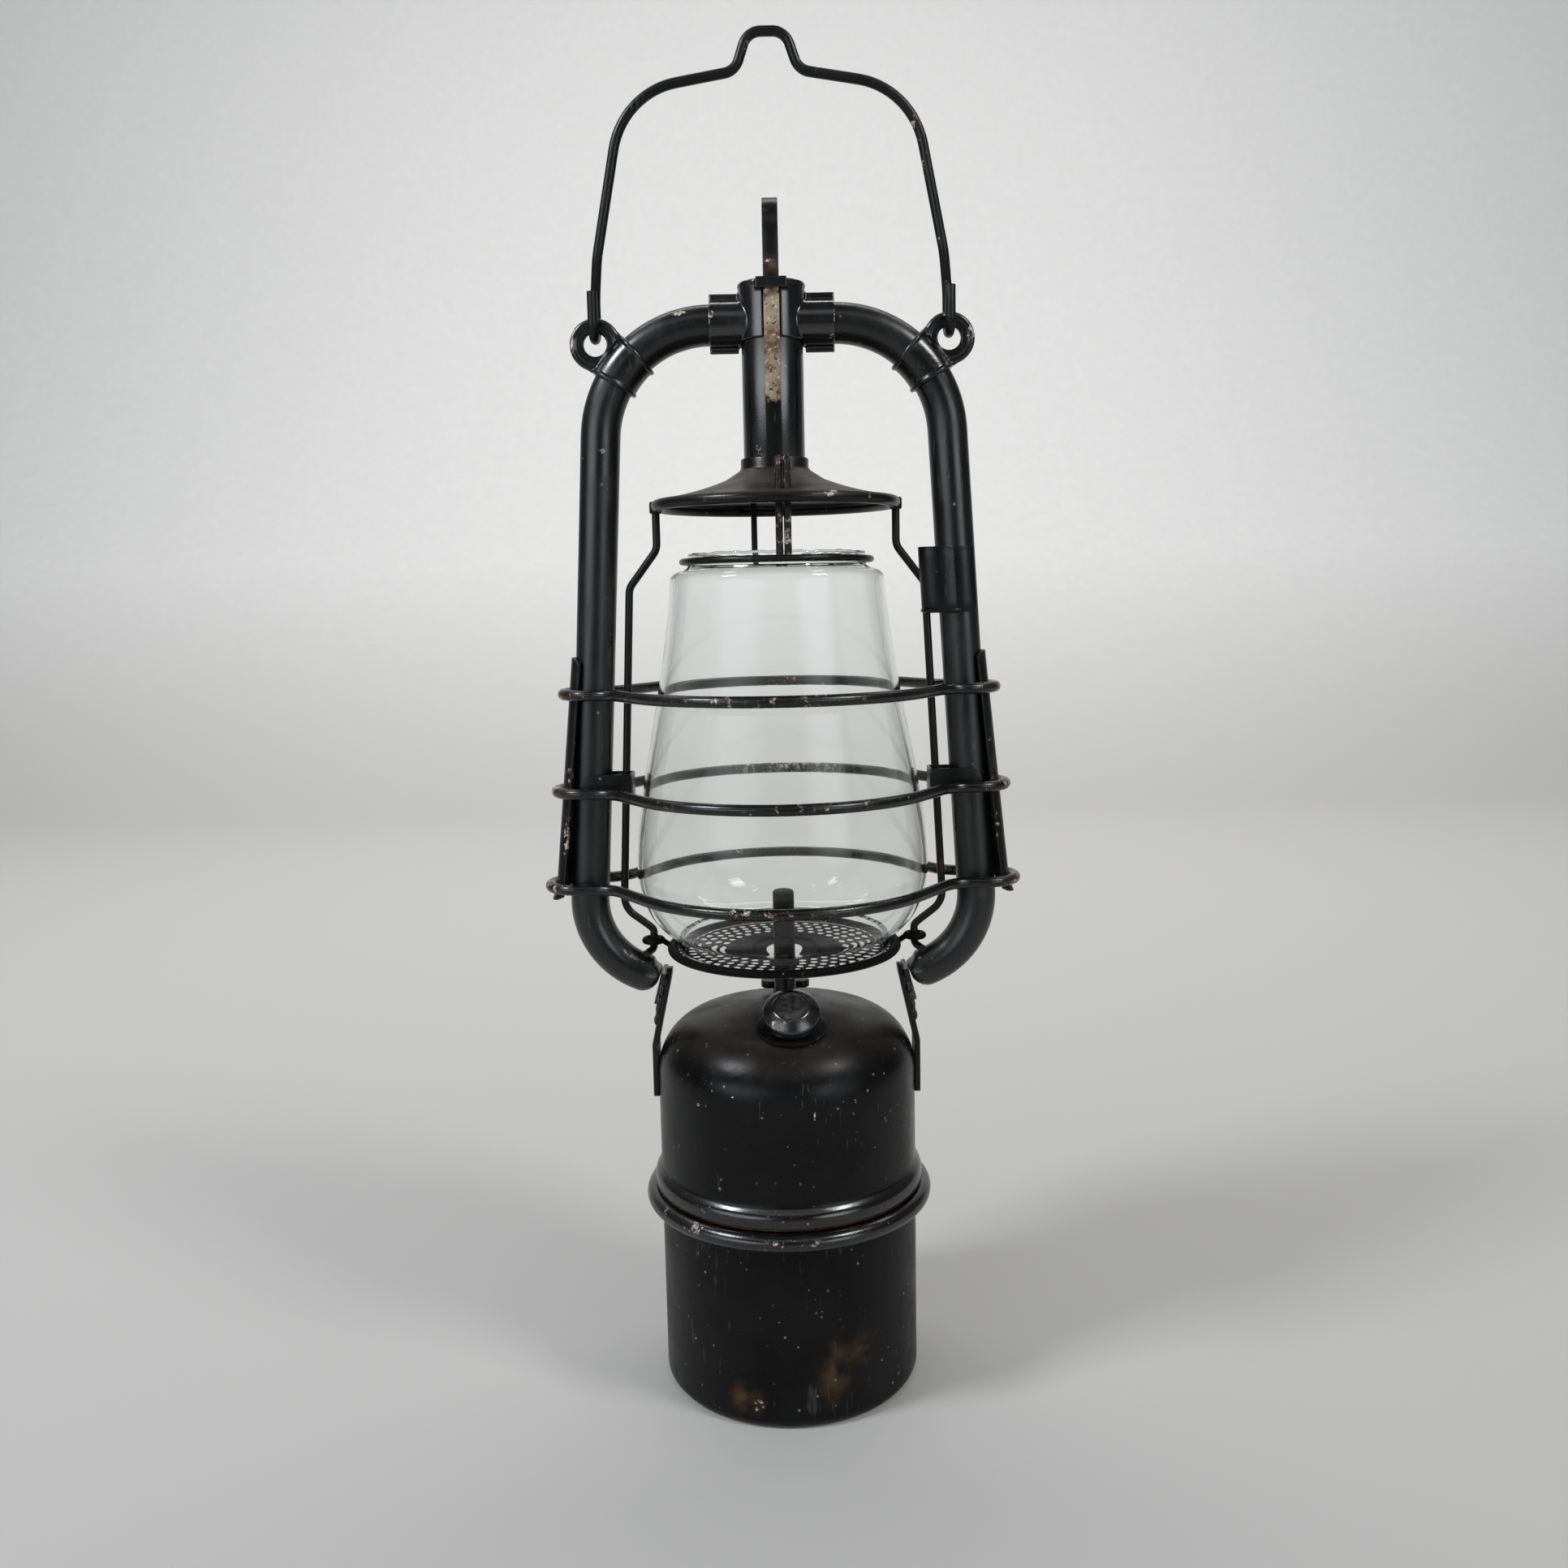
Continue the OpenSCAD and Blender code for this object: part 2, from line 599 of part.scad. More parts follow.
// Hub: two half stampings that clamp the tubes to the chimney
sleeve_r = tube_r + solder_gap + 0.8;
strip_slot_w = lift_strip_w + 2 * slide_gap;
strip_in_y = chimney_r + slide_gap;
strip_out_y = strip_in_y + lift_strip_t;
module hub_body() {
    rim_r = 1;
    fin_up = 2.4;
    fin_down = 1.8;
    fin_t = 1.6;
    barrel_low_z = hub_z - tube_r + 1;
    difference() {
        union() {
            translate([0, 0, barrel_low_z]) cylinder(h = hub_top_z - barrel_low_z, r = hub_r);
            translate([0, 0, hub_top_z - rim_r])
                rotate_extrude() translate([hub_r - rim_r + 0.3, 0]) circle(rim_r, $fn = 24);
            translate([-sleeve_half_l, 0, hub_z]) rotate([0, 90, 0])
                cylinder(h = 2 * sleeve_half_l, r = sleeve_r);
            for (x = [-1, 1])
                translate([x * (sleeve_half_l + hub_r) / 2, 0, hub_z + (fin_up - fin_down) / 2])
                    cube([sleeve_half_l - hub_r, fin_t, 2 * sleeve_r + fin_up + fin_down], center = true);
        }
        translate([0, 0, chimney_low_z]) cylinder(h = hub_top_z, r = chimney_r + solder_gap);
        for (x = [-1, 1]) translate([x * (tube_start.x - solder_gap), 0, hub_z]) rotate([0, x * 90, 0])
            cylinder(h = 2 * sleeve_half_l, r = tube_r + solder_gap);
    }
}

// Staple on the front rim that keeps the lift strip against the chimney
module strip_staple() {
    staple_h = 3.6;
    staple_t = 0.9;
    staple_side = 2.2;
    reach = strip_out_y + slide_gap + staple_t;
    translate([0, 0, hub_top_z - staple_h]) difference() {
        translate([-strip_slot_w / 2 - staple_side, -reach, 0])
            cube([strip_slot_w + 2 * staple_side, reach - chimney_r / 2, staple_h]);
        translate([-strip_slot_w / 2, -reach + staple_t, -over])
            cube([strip_slot_w, reach, staple_h + 2 * over]);
        translate([0, 0, -over]) cylinder(h = staple_h + 2 * over, r = chimney_r + solder_gap);
    }
}

module half_space(side) {
    far = 2 * sleeve_half_l;
    translate([-far, side > 0 ? solder_gap / 2 : -far, hub_z - far])
        cube([2 * far, far - solder_gap / 2, 2 * far]);
}

module hub_front() {
    color(enamel) {
        difference() {
            intersection() {
                hub_body();
                half_space(-1);
            }
            translate([-strip_slot_w / 2, -2 * hub_r, chimney_low_z])
                cube([strip_slot_w, 2 * hub_r, hub_top_z]);
        }
        strip_staple();
    }
}

module hub_back() {
    color(enamel) intersection() {
        hub_body();
        half_space(1);
    }
}

chimney_top_z = hub_top_z - 0.6;
module chimney_tube() {
    color(enamel) translate([0, 0, chimney_low_z]) difference() {
        cylinder(h = chimney_top_z - chimney_low_z, r = chimney_r);
        translate([0, 0, -over]) cylinder(h = chimney_top_z, r = chimney_r - sheet);
    }
}

// Ears: a beaded band on the top bend and an eye for the bail
bend_centre = [frame_half_w - trim([0, 0, hub_z], hub_corner, foot_corner, top_bend_r), hub_z - top_bend_r];
eye_dist = top_bend_r + ear_reach;
eye_x = bend_centre.x + eye_dist * cos(ear_angle);
eye_z = bend_centre.y + eye_dist * sin(ear_angle);
band_in_r = tube_r + solder_gap;
module ear() {
    band_t = 0.9;
    bead_r = 0.8;
    web_t = 2;
    rim_bead_r = eye_rim_t / 2;
    edge_rod_r = rim_bead_r - 0.2;
    band_angle = band_w / top_bend_r * 180 / PI;
    web_l = ear_reach;
    web_foot_w = band_w - 1;
    color(enamel) translate([bend_centre.x, 0, bend_centre.y]) rotate([0, -ear_angle, 0]) {
        difference() {
            union() {
                rotate([90, 0, 0]) rotate([0, 0, -band_angle / 2]) rotate_extrude(angle = band_angle)
                    translate([top_bend_r, 0]) circle(band_in_r + band_t, $fn = 48);
                for (s = [-1, 1]) rotate([0, -s * band_angle / 2, 0]) translate([top_bend_r, 0, 0])
                    rotate_extrude() translate([band_in_r + band_t - 0.2, 0]) circle(bead_r, $fn = 24);
                translate([eye_dist, 0, 0]) rotate([90, 0, 0]) {
                    translate([0, 0, -web_t / 2]) cylinder(h = web_t, r = eye_r - rim_bead_r);
                    rotate_extrude() translate([eye_r - rim_bead_r, 0]) circle(rim_bead_r, $fn = 24);
                    translate([0, 0, -web_t / 2]) linear_extrude(web_t) polygon([
                        [0, eye_r - rim_bead_r], [0, rim_bead_r - eye_r],
                        [-web_l, -web_foot_w / 2], [-web_l, web_foot_w / 2]
                    ]);
                    for (s = [-1, 1]) rod_between([0, s * (eye_r - rim_bead_r), 0],
                        [-web_l, s * band_w / 2, 0], edge_rod_r, $fn = 24);
                }
            }
            rotate([90, 0, 0]) rotate([0, 0, -2 * band_angle]) rotate_extrude(angle = 4 * band_angle)
                translate([top_bend_r, 0]) circle(band_in_r, $fn = 48);
            translate([eye_dist, 0, 0]) rotate([90, 0, 0])
                cylinder(h = 4 * eye_rim_t, r = eye_hole_r, center = true);
        }
    }
}
module ear_right() { ear(); }
module ear_left() { mirror([1, 0, 0]) ear(); }

// Guard rings: an arc in front, an arc behind and a turn round each tube and its guard strip
function strip_x(z) = tube_x(z) + guard_flare * (ring_top_z - z) / (ring_top_z - ring_low_z);
ring_ease_r = 12;
ring_ease_share = 0.35;
globe_max_r = ring_r - ring_wire_r - globe_gap;
module guard_ring(z) {
    x_meet = sqrt(ring_r * ring_r - ring_turn_r * ring_turn_r);
    x_ease = x_meet + (tube_x(z) - x_meet) * ring_ease_share;
    arc_end = atan2(x_ease, ring_turn_r) - acos(ring_r / norm([x_ease, ring_turn_r]));
    ease_r = min(ring_ease_r, (strip_x(z) - x_ease) / tan(arc_end / 2));
    y_arc = ring_r / cos(arc_end);
    x_turn = strip_x(z) + ring_turn_r;
    color(enamel) swept_wire([
        [0, -y_arc, z], [x_ease, -ring_turn_r, z], [x_turn, -ring_turn_r, z],
        [x_turn, ring_turn_r, z], [x_ease, ring_turn_r, z], [0, y_arc, z],
        [-x_ease, ring_turn_r, z], [-x_turn, ring_turn_r, z],
        [-x_turn, -ring_turn_r, z], [-x_ease, -ring_turn_r, z]
    ], [ring_r, ease_r, ring_turn_r, ring_turn_r, ease_r, ring_r, ease_r, ring_turn_r, ring_turn_r, ease_r],
        ring_wire_r, [0, 0, 1], closed = true);
}
module guard_ring_lower() { guard_ring(ring_low_z); }
module guard_ring_middle() { guard_ring(ring_mid_z); }
module guard_ring_upper() { guard_ring(ring_top_z); }

// Guard strips: part sleeves outside the tubes, held inside the rings' turns, with flared feet
module tube_frame(z) {
    translate([tube_x(z), 0, z]) rotate([0, -tube_lean, 0]) children();
}

module guard_strip() {
    strip_out_r = ring_turn_r - ring_wire_r - solder_gap;
    strip_in_r = strip_out_r - guard_strip_t;
    flare = 1.2;
    flare_h = 4;
    mid_z = (guard_strip_top_z + guard_strip_low_z) / 2;
    half_h = (guard_strip_top_z - guard_strip_low_z) / 2;
    strip_lean = atan2(strip_x(guard_strip_low_z) - strip_x(guard_strip_top_z), 2 * half_h);
    color(enamel) translate([strip_x(mid_z), 0, mid_z]) rotate([0, -strip_lean, 0]) intersection() {
        rotate([0, 0, -guard_strip_angle / 2]) rotate_extrude(angle = guard_strip_angle) polygon([
            [strip_in_r, flare_h - half_h], [strip_in_r + flare, -half_h],
            [strip_out_r + flare, -half_h], [strip_out_r, flare_h - half_h],
            [strip_out_r, half_h], [strip_in_r, half_h]
        ]);
        rotate([90, 0, 90]) linear_extrude(2 * strip_out_r)
            rounded_plate(2 * strip_out_r * sin(guard_strip_angle / 2) + 1, 2 * half_h, strip_out_r / 2);
    }
}
module guard_strip_right() { guard_strip(); }
module guard_strip_left() { mirror([1, 0, 0]) guard_strip(); }

// Side wires: from the hood's lugs, out beside the tubes, then in to the gallery's eyes
lug_x = hood_r - 1.4;
wire_top_z = hood_rim_z + 1;
wire_drop = 15.4;
wire_bend_z = wire_top_z - wire_drop;
wire_out_z = 285;
wire_low_z = 172.5;
wire_tube_gap = 4.3;
wire_out_x = tube_x(wire_out_z) - tube_r - wire_tube_gap;
wire_low_x = (globe_max_r + tube_x(wire_low_z) - tube_r) / 2;
function wire_x(z) = wire_out_x + (wire_low_x - wire_out_x) * (wire_out_z - z) / (wire_out_z - wire_low_z);
eye_loop_r = 2.9;
eye_wire_r = 1.2;
eye_loop_x = gallery_r + gallery_bead_r + 1 + eye_loop_r + eye_wire_r;
eye_loop_z = gallery_z + 3.1;
module side_wire() {
    hook_x = eye_loop_x - 0.2;
    hook_lead_x = 2.4;
    hook_lead_z = 6;
    hook_head_z = 4;
    hook_drop = 3;
    tail_l = 5;
    tail_out = 2.5;
    tail_drop = 0.8;
    p = [
        [lug_x, 0, wire_top_z], [lug_x, 0, wire_bend_z], [wire_out_x, 0, wire_out_z],
        [wire_low_x, 0, wire_low_z], [hook_x + hook_lead_x, 0, eye_loop_z + hook_lead_z],
        [hook_x, 0, eye_loop_z + hook_head_z], [hook_x, 0, eye_loop_z - hook_drop],
        [hook_x + tail_out, -tail_l, eye_loop_z - hook_drop - tail_drop]
    ];
    color(enamel) swept_wire(p, [0, 6, 6, 8, 3, 2.2, 2.2, 0], side_wire_r, [0, 1, 0], sides = 8, step = 18);
}
module side_wire_right() { side_wire(); }
module side_wire_left() { mirror([1, 0, 0]) side_wire(); }

// Wire guides: boxes soldered to the tubes' fronts that keep the side wires upright
guide_z = 217;
module wire_guide() {
    guide_h = 8.4;
    guide_t = 0.8;
    guide_gap = 0.6;
    x_wire = wire_x(guide_z);
    x_in = x_wire - side_wire_r - guide_gap;
    y_front = tube_r + solder_gap + guide_t;
    y_back = side_wire_r + 2.4;
    x_tube = tube_x(guide_z);
    color(enamel) difference() {
        union() {
            translate([x_in - guide_t, -y_front, guide_z - guide_h / 2])
                cube([x_tube - x_in, y_front + y_back, guide_h]);
            translate([x_tube - guide_t, -y_front, guide_z]) rotate([-90, 0, 0])
                cylinder(h = guide_t, r = guide_h / 2);
        }
        translate([x_in, guide_t - y_front, guide_z - guide_h])
            cube([x_tube, y_front + y_back - 2 * guide_t, 2 * guide_h]);
        tube_frame(guide_z) cylinder(h = 4 * guide_h, r = tube_r + solder_gap, center = true);
        translate([x_tube, guide_t - y_front, guide_z - guide_h]) cube(4 * guide_h);
    }
}
module wire_guide_right() { wire_guide(); }
module wire_guide_left() { mirror([1, 0, 0]) wire_guide(); }

// Rest on the right tube for the lifted wire: a part sleeve and a flange with a rolled foot
module lift_rest_clip() {
    clip_low_z = 275;
    clip_h = 22;
    clip_t = 0.8;
    roll_r = 0.9;
    clip_in_r = tube_r + solder_gap;
    clip_out_r = clip_in_r + clip_t;
    flange_l = 13;
    sleeve_angle = 66;
    far = 3 * clip_out_r;
    color(enamel) tube_frame(clip_low_z + clip_h / 2) {
        translate([0, 0, -clip_h / 2]) linear_extrude(clip_h) {
            intersection() {
                difference() {
                    circle(clip_out_r);
                    circle(clip_in_r);
                }
                polygon([[0, 0], [0, -far], [far * sin(sleeve_angle), -far * cos(sleeve_angle)]]);
            }
            translate([-flange_l, -clip_out_r]) square([flange_l, clip_t]);
        }
        translate([-flange_l, -clip_in_r - clip_t / 2, roll_r / 2 - clip_h / 2]) rotate([0, 90, 0])
            cylinder(h = flange_l - over, r = roll_r);
    }
}

// Hood: collar on the chimney, dished cone, rolled edge and two lugs for the wires
stay_x = 2.5;
globe_ring_r = globe_neck_r + globe_ring_wire_r + 0.8;
back_stay_x = -8;
back_stay_y = sqrt(globe_ring_r * globe_ring_r - back_stay_x * back_stay_x);
front_stay_y = sqrt(globe_ring_r * globe_ring_r - stay_x * stay_x);
collar_in_r = chimney_r + slide_gap;
collar_out_r = collar_in_r + sheet;
bead_in = hood_r - hood_bead_r;
hood_edge_z = hood_rim_z + hood_bead_r - 0.2;
dish_depth = 1.2;
function dish(drop) = [for (i = [0:curve_steps]) let (t = i / curve_steps)
    [collar_in_r + (bead_in - collar_in_r) * t,
        collar_z + (hood_edge_z - collar_z) * t - 4 * dish_depth * t * (1 - t) - drop]];
module hood() {
    hood_t = 0.8;
    fillet_r = 3;
    lug_r = side_wire_r + 0.8;
    lug_low = 2.4;
    slot_w = 2 * (2 * stay_wire_r + stay_gap) - stay_gap + 2 * slide_gap + 0.4;
    slot_d = 2 * (stay_wire_r + slide_gap);
    color(enamel) difference() {
        union() {
            rotate_extrude($fn = 96) {
                wall_section(collar_in_r, collar_out_r, collar_z - hood_t, collar_z + collar_h);
                polygon(concat(dish(0), reversed(dish(hood_t))));
                translate([bead_in, hood_rim_z]) circle(hood_bead_r, $fn = 32);
                difference() {
                    translate([collar_out_r - 0.1, collar_z - fillet_r * 0.4]) square(fillet_r);
                    translate([collar_out_r + fillet_r, collar_z + fillet_r * 0.6]) circle(fillet_r);
                }
            }
            for (x = [-1, 1]) translate([x * lug_x, 0, hood_rim_z - lug_low])
                cylinder(h = lug_low + 1.8, r = lug_r);
        }
        for (x = [-1, 1]) translate([x * lug_x, 0, hood_rim_z - 2 * lug_low])
            cylinder(h = 2 * lug_low + 1.05, r = side_wire_r + solder_gap / 2);
        translate([stay_x - slot_w / 2, -front_stay_y - slot_d / 2, hood_rim_z - 2 * hood_bead_r])
            cube([slot_w, slot_d, collar_z - hood_rim_z + 2 * hood_bead_r]);
        translate([back_stay_x, back_stay_y, hood_rim_z - 2 * hood_bead_r])
            cylinder(h = collar_z, r = globe_ring_wire_r + slide_gap);
        translate([-lift_strip_w / 2 - solder_gap, -2 * collar_out_r, collar_z])
            cube([lift_strip_w + 2 * solder_gap, 2 * collar_out_r, 2 * collar_h]);
        translate([0, 0, collar_z - collar_h]) cylinder(h = 3 * collar_h, r = collar_in_r);
    }
}

// Lift strip up the chimney's front, rolled into a finger loop at its top
module lift_strip() {
    loop_y = loop_r - strip_out_y;
    loop_z = hub_top_z + loop_r + 0.6;
    color(bare_iron) {
        translate([-lift_strip_w / 2, -strip_out_y, collar_z])
            cube([lift_strip_w, lift_strip_t, loop_z - collar_z]);
        difference() {
            translate([-lift_strip_w / 2, loop_y, loop_z]) rotate([0, 90, 0])
                cylinder(h = lift_strip_w, r = loop_r);
            translate([-lift_strip_w, loop_y, loop_z]) rotate([0, 90, 0])
                cylinder(h = 2 * lift_strip_w, r = loop_r - lift_strip_t);
        }
    }
}

// Gallery: perforated plate with a rolled edge that carries the globe
bead_z = gallery_z + gallery_t + 0.1;
module gallery_plate() {
    row_step = 3.5;
    row_margin = 2.1;
    boss_r = 12.5;
    boss_bead_r = 0.8;
    color(enamel) {
        difference() {
            union() {
                translate([0, 0, gallery_z]) linear_extrude(gallery_t) difference() {
                    circle(gallery_r, $fn = 96);
                    circle(gallery_hole_r);
                    for (row = [0:gallery_rows - 1]) {
                        row_r = gallery_r - gallery_bead_r - row_margin - row * row_step;
                        count = round(2 * PI * row_r / gallery_pitch);
                        for (i = [1:count]) rotate([0, 0, (i + row / 2) * 360 / count])
                            translate([row_r, 0]) circle(gallery_hole_size, $fn = 16);
                    }
                }
                translate([0, 0, gallery_z + gallery_t]) rotate_extrude()
                    translate([boss_r, 0]) circle(boss_bead_r, $fn = 24);
                translate([0, 0, bead_z]) rotate_extrude($fn = 96)
                    translate([gallery_r, 0]) circle(gallery_bead_r, $fn = 24);
            }
            translate([0, -gallery_r - gallery_bead_r, bead_z + gallery_bead_r])
                sphere(0.9, $fn = 24);
        }
    }
}

// Wire eyes on the gallery's edge where the side wires hook in
module gallery_eyes() {
    eye_shank_r = eye_wire_r - 0.2;
    color(enamel) for (x = [-1, 1]) difference() {
        union() {
            translate([x * eye_loop_x, 0, eye_loop_z]) rotate_extrude()
                translate([eye_loop_r, 0]) circle(eye_wire_r, $fn = 24);
            rod_between([x * gallery_r, 0, bead_z],
                [x * (eye_loop_x - eye_loop_r), 0, eye_loop_z], eye_shank_r);
        }
        translate([0, 0, bead_z]) rotate_extrude($fn = 96)
            translate([gallery_r, 0]) circle(gallery_bead_r + solder_gap / 2, $fn = 24);
    }
}

// Globe: foot, round belly, long cone, shoulder and neck, as one smooth outline
globe_low_z = gallery_z + gallery_t;
globe_top_z = globe_low_z + globe_h;
function curve(a, b, c, d, t) =
    a * pow(1 - t, 3) + 3 * b * t * pow(1 - t, 2) + 3 * c * t * t * (1 - t) + d * pow(t, 3);
foot_h = 4.6;
belly_h = 29;
belly_z = globe_low_z + belly_h;
shoulder_low_z = globe_top_z - 10;
neck_step_h = 6;
curve_steps = 9;

// How far each curve of the globe keeps its end direction: out of the foot, into the belly, up from the
// belly, down and out from the shoulder, and through the step to the neck
foot_pull = [-6, 8];
belly_pull_low = 12;
belly_pull_up = 26;
shoulder_pull = [2, -32];
step_pull_low = 5;
step_pull_up = 3.4;
function globe_outline(inset) = let (s = curve_steps) concat(
    [[globe_foot_r - inset, globe_low_z]],
    [for (i = [0:s]) curve([globe_foot_r - inset, globe_low_z + foot_h],
        [globe_max_r - inset, globe_low_z] + foot_pull, [globe_max_r - inset, belly_z - belly_pull_low],
        [globe_max_r - inset, belly_z], i / s)],
    [for (i = [1:s]) curve([globe_max_r - inset, belly_z], [globe_max_r - inset, belly_z + belly_pull_up],
        [globe_shoulder_r - inset, shoulder_low_z] + shoulder_pull,
        [globe_shoulder_r - inset, shoulder_low_z], i / s)],
    [for (i = [1:s]) curve([globe_shoulder_r - inset, shoulder_low_z],
        [globe_shoulder_r - inset, shoulder_low_z + step_pull_low],
        [globe_neck_r - inset, shoulder_low_z + step_pull_up],
        [globe_neck_r - inset, shoulder_low_z + neck_step_h], i / s)],
    [[globe_neck_r - inset, globe_top_z]]
);
module globe() {
    outer = globe_outline(0);
    inner = globe_outline(glass_t);
    color(clear_glass) rotate_extrude($fn = 96)
        polygon(concat(outer, [for (i = [len(inner) - 1:-1:0]) inner[i]]));
}

// Globe ring: a wire round the neck, hung from the hood by a double front stay and a back stay
globe_ring_z = shoulder_low_z + neck_step_h + globe_ring_wire_r;
stay_top_z = collar_z + 2;
module globe_ring() {
    color(enamel) translate([0, 0, globe_ring_z]) rotate_extrude($fn = 96)
        translate([globe_ring_r, 0]) circle(globe_ring_wire_r, $fn = 24);
}

module front_stay() {
    half = stay_wire_r + stay_gap / 2;
    low_z = globe_ring_z + globe_ring_wire_r + solder_gap / 2;
    hook_l = 5;
    color(enamel) for (s = [-1, 1])
        bent_rod([
            [stay_x + s * half, -front_stay_y, low_z], [stay_x + s * half, -front_stay_y, stay_top_z],
            [stay_x + s * half, hook_l - front_stay_y, stay_top_z],
            [stay_x + s * half, hook_l - front_stay_y, stay_top_z - hook_l + 1]
        ], [0, 2.4, 2.4, 0], stay_wire_r);
}

module back_stay() {
    low_z = globe_ring_z + globe_ring_wire_r + solder_gap / 2;
    hook_l = 4;
    color(enamel) bent_rod([
        [back_stay_x, back_stay_y, low_z], [back_stay_x, back_stay_y, stay_top_z],
        [back_stay_x, back_stay_y - hook_l, stay_top_z]
    ], [0, 2, 0], globe_ring_wire_r);
}

// Bail: hooked through the ears' eyes, with a crook at the top for hanging
hook_turn_r = 4.6;
hook_low_z = eye_z + eye_hole_r - bail_wire_r - 0.4;
function mirrored(p) = [for (i = [len(p) - 1:-1:0]) [-p[i].x, p[i].y, p[i].z]];
module bail() {
    tail_l = 10;
    hook_rise = 14;
    leg_rise = 26;
    leg_in = 1.6;
    crook_r = 6.2;
    crook_foot_x = 10.4;
    crook_z = bail_top_z - bail_wire_r;
    crook_low_z = bail_shoulder_z + crook_r;
    half = [
        [eye_x, -hook_turn_r, hook_low_z + hook_turn_r + tail_l], [eye_x, -hook_turn_r, hook_low_z],
        [eye_x, hook_turn_r, hook_low_z], [eye_x, hook_turn_r, hook_low_z + hook_rise],
        [eye_x - leg_in, 0, hook_low_z + leg_rise], [bail_shoulder_half_w, 0, bail_shoulder_z],
        [crook_foot_x, 0, crook_low_z], [crook_r, 0, crook_z]
    ];
    bends = [0, hook_turn_r, hook_turn_r, 16, 16, 26, 6, crook_r - 0.2];
    color(enamel) swept_wire(concat(half, mirrored(half)), concat(bends, reversed(bends)),
        bail_wire_r, [1, 0, 0]);
}

carbide_pot();
carbide_basket();
pot_gasket();
water_tank();
tank_floor();
drip_tube();
gas_stem();
burner_tip();
filler_neck();
filler_washer();
filler_cap();
valve_gland();
valve_spindle();
valve_knob();
strap_left();
strap_right();
side_tube_left();
side_tube_right();
hub_front();
hub_back();
chimney_tube();
ear_left();
ear_right();
guard_ring_lower();
guard_ring_middle();
guard_ring_upper();
guard_strip_left();
guard_strip_right();
wire_guide_left();
wire_guide_right();
lift_rest_clip();
hood();
lift_strip();
side_wire_left();
side_wire_right();
gallery_plate();
gallery_eyes();
globe();
globe_ring();
front_stay();
back_stay();
bail();
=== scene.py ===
import math

import bmesh
import bpy
from mathutils import Matrix, Vector


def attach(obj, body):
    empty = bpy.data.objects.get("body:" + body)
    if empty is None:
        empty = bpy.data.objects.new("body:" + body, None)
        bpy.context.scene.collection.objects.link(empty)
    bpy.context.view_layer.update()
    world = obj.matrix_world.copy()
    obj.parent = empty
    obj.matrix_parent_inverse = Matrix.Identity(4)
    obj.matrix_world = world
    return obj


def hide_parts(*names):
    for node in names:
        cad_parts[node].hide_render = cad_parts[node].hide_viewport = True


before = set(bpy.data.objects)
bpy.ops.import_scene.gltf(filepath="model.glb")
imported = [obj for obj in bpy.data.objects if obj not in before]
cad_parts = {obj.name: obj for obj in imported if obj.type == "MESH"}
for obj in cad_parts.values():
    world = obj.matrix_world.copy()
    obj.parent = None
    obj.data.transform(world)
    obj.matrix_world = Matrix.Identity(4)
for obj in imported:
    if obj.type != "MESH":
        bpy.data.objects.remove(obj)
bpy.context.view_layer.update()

# Stage: a pale seamless sweep under and behind the lantern, not part of it.
# One plane whose far edge is drawn up, with the fold rounded into a cove.
bpy.ops.object.select_all(action="DESELECT")
bpy.ops.mesh.primitive_plane_add(size=5, location=(0, 0, 0))
sweep = bpy.context.object
sweep.name = "sweep"
bpy.ops.object.mode_set(mode="EDIT")
bpy.ops.mesh.select_all(action="DESELECT")
bpy.ops.object.mode_set(mode="OBJECT")
for vertex in sweep.data.vertices:
    vertex.select = vertex.co.y > 0
for edge in sweep.data.edges:
    edge.select = all(sweep.data.vertices[i].select for i in edge.vertices)
bpy.ops.object.mode_set(mode="EDIT")
bpy.ops.mesh.extrude_region_move(TRANSFORM_OT_translate={"value": (0, 0, 3)})
bpy.ops.object.mode_set(mode="OBJECT")
for vertex in sweep.data.vertices:
    vertex.select = vertex.co.y > 0 and vertex.co.z < 0.1
for edge in sweep.data.edges:
    edge.select = all(sweep.data.vertices[i].select for i in edge.vertices)
for face in sweep.data.polygons:
    face.select = False
bpy.ops.object.mode_set(mode="EDIT")
bpy.ops.mesh.bevel(offset=1.2, segments=24, affect="EDGES")
bpy.ops.object.mode_set(mode="OBJECT")
bpy.ops.object.shade_smooth()
paper = bpy.data.materials.new("pale_paper")
paper.use_nodes = True
paper_nodes, paper_links = paper.node_tree.nodes, paper.node_tree.links
paper_fibre = paper_nodes.new("ShaderNodeTexNoise")
paper_fibre.inputs["Scale"].default_value = 60
paper_links.new(paper_nodes.new("ShaderNodeTexCoord").outputs["Object"], paper_fibre.inputs["Vector"])
paper_tone = paper_nodes.new("ShaderNodeValToRGB")
paper_tone.color_ramp.elements[0].color = (0.62, 0.617, 0.605, 1)
paper_tone.color_ramp.elements[1].color = (0.675, 0.672, 0.66, 1)
paper_links.new(paper_fibre.outputs["Fac"], paper_tone.inputs["Fac"])
# Painted shade: the same paper is coloured darker on the floor and reaches its own paler tone over the first 35 cm up
# the cove and wall.
paper_height = paper_nodes.new("ShaderNodeSeparateXYZ")
paper_links.new(paper_fibre.inputs["Vector"].links[0].from_socket, paper_height.inputs["Vector"])
paper_rise = paper_nodes.new("ShaderNodeMapRange")
paper_rise.inputs["From Max"].default_value = 0.35
paper_links.new(paper_height.outputs["Z"], paper_rise.inputs["Value"])
floor_painted_shade = paper_nodes.new("ShaderNodeMix")
floor_painted_shade.data_type = "RGBA"
floor_painted_shade.inputs["A"].default_value = (0.48, 0.475, 0.465, 1)
paper_links.new(paper_rise.outputs["Result"], floor_painted_shade.inputs["Factor"])
paper_links.new(paper_tone.outputs["Color"], floor_painted_shade.inputs["B"])
paper_links.new(floor_painted_shade.outputs["Result"], paper_nodes["Principled BSDF"].inputs["Base Color"])
paper_nodes["Principled BSDF"].inputs["Roughness"].default_value = 0.9
